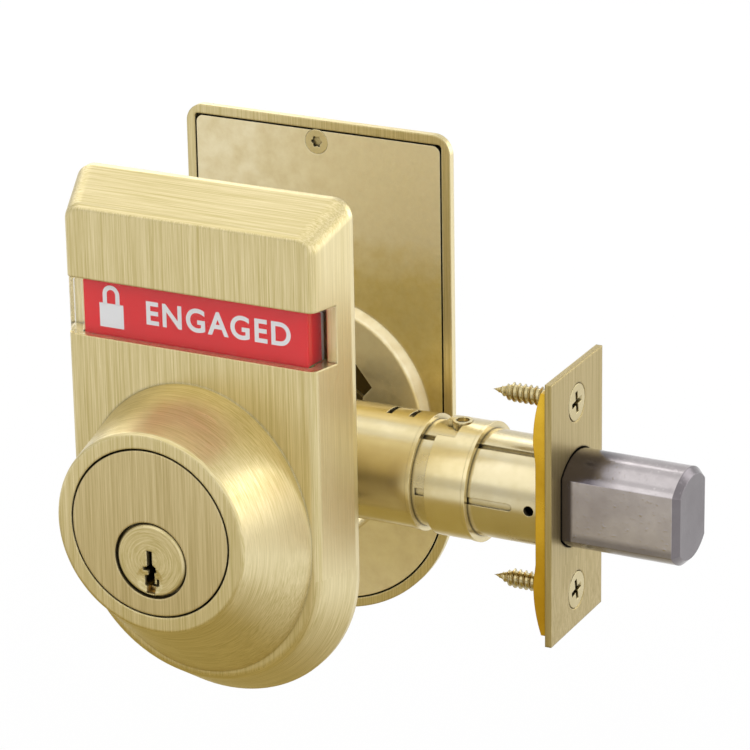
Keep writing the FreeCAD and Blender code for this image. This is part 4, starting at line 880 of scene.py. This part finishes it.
LENS_FRONT_HALF = 28.2 * MM
LENS_INSIDE_HALF = 26.0 * MM
LENS_WALL = 2.2 * MM
LENS_GAP = 0.05 * MM
LENS_CORNER = 2.2 * MM
LENS_EDGE = 0.22 * MM


def slot_lens():
    """Clear U that wraps both sides of the window slot, with rounded corners."""
    low_y = lens_low.y
    high_y = lens_high.y - LENS_GAP
    low_z = lens_low.z + LENS_GAP
    high_z = lens_high.z - LENS_GAP
    middle_y = (low_y + high_y) / 2.0
    middle_z = (low_z + high_z) / 2.0
    lens = box_piece((2.0 * lens_high.x, high_y - low_y, high_z - low_z),
                     (0.0, middle_y, middle_z))
    narrow = LENS_FRONT_HALF / lens_high.x
    for vertex in lens.data.vertices:
        if vertex.co.y < low_y + LENS_GAP:
            vertex.co.x *= narrow
    pick(lens)
    bpy.ops.object.mode_set(mode="EDIT")
    bpy.ops.mesh.select_all(action="DESELECT")
    bpy.ops.mesh.select_mode(type="EDGE")
    bpy.ops.object.mode_set(mode="OBJECT")
    for edge in lens.data.edges:
        first, second = [lens.data.vertices[index].co for index in edge.vertices]
        upright = abs(first.x - second.x) < LENS_GAP and abs(first.y - second.y) < LENS_GAP
        edge.select = upright and first.y < low_y + LENS_GAP
    bpy.ops.object.mode_set(mode="EDIT")
    bpy.ops.mesh.bevel(offset=LENS_CORNER, segments=8)
    bpy.ops.object.mode_set(mode="OBJECT")
    hollow = box_piece((2.0 * LENS_INSIDE_HALF, high_y - low_y, 2.0 * (high_z - low_z)),
                       (0.0, middle_y + LENS_WALL, middle_z))
    cut_with(lens, [hollow])
    apply_modifier(lens, "BEVEL", width=LENS_EDGE, segments=3, limit_method="ANGLE",
                   angle_limit=math.radians(50.0))
    finish_piece(lens, "slot_lens", "clear_lens", "lock", "window_lens")


PRINT_THICK = 0.04 * MM
PRINT_EDGE = 0.012 * MM
PRINT_Y = sign_low.y - PRINT_THICK / 2.0
CAP_HEIGHT = 4.75 * MM
# Share of the font's size that a capital is high, and how much its strokes are thickened
CAP_SHARE = 0.69
STROKE_SHARE = 0.034
WORD_LEFT = -11.4 * MM
WORD_RIGHT = 21.6 * MM
WORD_STRETCH = 1.25


def sign_word(name, text, low, high):
    """White capitals on a sign field, standing a little proud of its face."""
    bpy.ops.object.text_add()
    word = bpy.context.object
    word.data.body = text
    word.data.size = CAP_HEIGHT / CAP_SHARE
    word.data.offset = STROKE_SHARE * CAP_HEIGHT
    word.data.space_character = 1.16
    word.data.extrude = PRINT_THICK / 2.0
    pick(word)
    bpy.ops.object.convert(target="MESH")
    width = word.dimensions.x
    stretch = min(WORD_STRETCH, (WORD_RIGHT - WORD_LEFT) / width)
    left = (WORD_LEFT + WORD_RIGHT) / 2.0 - width * stretch / 2.0
    foot = (low.z + high.z) / 2.0 - CAP_HEIGHT / 2.0
    word.matrix_world = (Matrix.Translation((left, PRINT_Y, foot)) @ FACE_OUT
                         @ Matrix.Diagonal((stretch, 1.0, 1.0, 1.0)))
    finish_piece(word, name, "white_print", "indicator")


PADLOCK_X = -19.2 * MM
PADLOCK_HALF = 2.8 * MM
PADLOCK_BELOW = 4.5 * MM
PADLOCK_ABOVE = 0.65 * MM
SHACKLE_RADIUS = 1.95 * MM
SHACKLE_BAR = 0.95 * MM
SHACKLE_LEG = 2.0 * MM
SHACKLE_OPEN_LEG = 2.9 * MM
SHACKLE_OPEN_GAP = 1.1 * MM
SHACKLE_LAP = 0.1 * MM


def padlock(name, low, high, opened):
    """Flat padlock beside the word; the opened one has its right leg clear of the body."""
    middle = (low.z + high.z) / 2.0
    body_low = middle - PADLOCK_BELOW
    body_high = middle + PADLOCK_ABOVE
    block = box_piece((2.0 * PADLOCK_HALF, PRINT_THICK, body_high - body_low),
                      (PADLOCK_X, PRINT_Y, (body_low + body_high) / 2.0))
    apply_modifier(block, "BEVEL", width=PRINT_EDGE, segments=1, limit_method="ANGLE",
                   angle_limit=math.radians(60.0))
    bpy.ops.mesh.primitive_circle_add(vertices=40, radius=SHACKLE_RADIUS,
                                      rotation=(math.pi / 2.0, 0.0, 0.0))
    arch = bpy.context.object
    place_mesh(arch)
    bpy.ops.object.mode_set(mode="EDIT")
    bpy.ops.mesh.select_all(action="SELECT")
    bpy.ops.mesh.bisect(plane_co=(0.0, 0.0, 0.0), plane_no=(0.0, 0.0, 1.0), clear_inner=True)
    bpy.ops.mesh.select_all(action="SELECT")
    bpy.ops.mesh.extrude_edges_move()
    inward = (SHACKLE_RADIUS - SHACKLE_BAR) / SHACKLE_RADIUS
    bpy.ops.transform.resize(value=(inward, inward, inward), center_override=(0.0, 0.0, 0.0))
    bpy.ops.object.mode_set(mode="OBJECT")
    apply_modifier(arch, "SOLIDIFY", thickness=PRINT_THICK, offset=0.0)
    rise = body_high + (SHACKLE_OPEN_LEG if opened else SHACKLE_LEG)
    lapped = body_high - SHACKLE_LAP
    legs = []
    for side, foot in ((-1, lapped), (1, body_high + SHACKLE_OPEN_GAP if opened else lapped)):
        out = side * (SHACKLE_RADIUS - SHACKLE_BAR / 2.0)
        legs.append(box_piece((SHACKLE_BAR, PRINT_THICK, rise - foot),
                              (out, 0.0, (foot - rise) / 2.0)))
    shackle = join([arch] + legs)
    shackle.location = (PADLOCK_X, PRINT_Y, rise)
    place_mesh(shackle)
    finish_piece(join([block, shackle]), name, "white_print", "indicator")


# Stage

FLOOR_Z = -0.13
TABLE_MIDDLE = (-0.09, -0.07, 0.0)
TABLE_INNER = 0.15
TABLE_OUTER = 0.31
FLOOR_GLOW = 0.85


def build_stage():
    """Floor seen as bright as the background, that reflects as a darker table near the lock."""
    bpy.ops.mesh.primitive_plane_add(size=8.0, location=(0.0, 0.0, FLOOR_Z))
    floor = bpy.context.object
    floor.name = "floor"
    finish = Finish("pale_floor", roughness=0.9)
    tree = finish.tree
    coords = tree.nodes.new("ShaderNodeTexCoord")
    away = tree.nodes.new("ShaderNodeVectorMath")
    away.operation = "DISTANCE"
    away.inputs[1].default_value = TABLE_MIDDLE
    tree.links.new(coords.outputs["Object"], away.inputs[0])
    table = remap(tree, away.outputs["Value"], TABLE_INNER, TABLE_OUTER, 1.0, 0.0)
    rays = tree.nodes.new("ShaderNodeLightPath").outputs
    unseen = math_node(tree, "SUBTRACT", 1.0, rays["Is Camera Ray"])
    darker = math_node(tree, "MULTIPLY", table, unseen)
    finish.color(mix_colors(tree, darker, rgba(0.92, 0.92, 0.92), rgba(0.42, 0.33, 0.10)))
    around = math_node(tree, "SUBTRACT", 1.0, table)
    mirrored = math_node(tree, "MULTIPLY", rays["Is Glossy Ray"], around)
    seen = largest(tree, rays["Is Camera Ray"], rays["Is Transmission Ray"], mirrored)
    glow = tree.nodes.new("ShaderNodeEmission")
    glow.inputs["Color"].default_value = rgba(1.0, 1.0, 1.0)
    mix_shaders(tree, math_node(tree, "MULTIPLY", seen, FLOOR_GLOW), finish.shader, glow)
    floor.data.materials.append(finish.material)


WORLD_LOW = 0.62
WORLD_DIFFUSE = 0.7


def build_world():
    """White sky, darker low down and in front, that the camera sees as plain white."""
    world = bpy.data.worlds.new("studio")
    bpy.context.scene.world = world
    world.use_nodes = True
    tree = world.node_tree
    backdrop = tree.nodes["Background"]
    toward = split_coords(tree, "Generated")
    rays = tree.nodes.new("ShaderNodeLightPath").outputs
    upward = remap(tree, toward[2], -0.1, 0.8, WORLD_LOW, 1.0)
    behind = remap(tree, math_node(tree, "ADD", toward[0], toward[1]), -0.1, 0.9, WORLD_LOW, 1.0)
    level = largest(tree, upward, behind, rays["Is Camera Ray"])
    tree.links.new(combine(tree, level, level, level), backdrop.inputs["Color"])
    seen = largest(tree, rays["Is Camera Ray"], rays["Is Glossy Ray"],
                   rays["Is Transmission Ray"])
    strength = math_node(tree, "MULTIPLY_ADD", seen, 1.0 - WORLD_DIFFUSE, WORLD_DIFFUSE)
    tree.links.new(strength, backdrop.inputs["Strength"])


# Name, place, size and power of each lamp
LAMP_AIM = Vector((0.02, 0.02, 0.02))
LAMPS = (
    ("key", (-0.55, -1.0, 0.95), (1.5, 1.3), 3.6),
    ("front_fill", (1.00, -0.75, 0.45), (1.6, 1.3), 3.0),
    ("right_back", (0.95, 0.85, 0.22), (1.2, 1.0), 7.0),
    ("overhead", (0.1, 0.1, 1.3), (1.4, 1.2), 1.8),
    ("back_left", (-0.9, 0.9, 0.7), (0.9, 0.9), 5.0),
)


def build_lights():
    for name, place, size, power in LAMPS:
        bpy.ops.object.light_add(type="AREA", location=place)
        lamp = bpy.context.object
        lamp.name = name
        lamp.data.shape = "RECTANGLE"
        lamp.data.size, lamp.data.size_y = size
        lamp.data.energy = power
        lamp.rotation_euler = (LAMP_AIM - Vector(place)).to_track_quat("-Z", "Y").to_euler()


def build_camera():
    back = Vector((math.sin(CAMERA_AZIMUTH) * math.cos(CAMERA_ELEVATION),
                   -math.cos(CAMERA_AZIMUTH) * math.cos(CAMERA_ELEVATION),
                   math.sin(CAMERA_ELEVATION)))
    level = Vector((math.cos(CAMERA_AZIMUTH), math.sin(CAMERA_AZIMUTH), 0.0))
    upright = back.cross(level)
    right = math.cos(CAMERA_ROLL) * level + math.sin(CAMERA_ROLL) * upright
    up = back.cross(right)
    place = CAMERA_TARGET + CAMERA_DISTANCE * back
    data = bpy.data.cameras.new("camera")
    data.lens = CAMERA_LENS
    data.sensor_width = 36.0
    camera = bpy.data.objects.new("camera", data)
    bpy.context.scene.collection.objects.link(camera)
    camera.matrix_world = Matrix((
        (right.x, up.x, back.x, place.x),
        (right.y, up.y, back.y, place.y),
        (right.z, up.z, back.z, place.z),
        (0.0, 0.0, 0.0, 1.0),
    ))
    bpy.context.scene.camera = camera


bpy.context.scene.view_settings.view_transform = "Standard"
dress_nodes()
edge_screws()
inner_screws()
clamp_bolts()
back_screws()
slot_lens()
sign_word("locked_word", "ENGAGED", sign_low, sign_high)
sign_word("vacant_word", "VACANT", free_low, free_high)
padlock("locked_padlock", sign_low, sign_high, False)
padlock("vacant_padlock", free_low, free_high, True)
build_stage()
build_world()
build_lights()
build_camera()
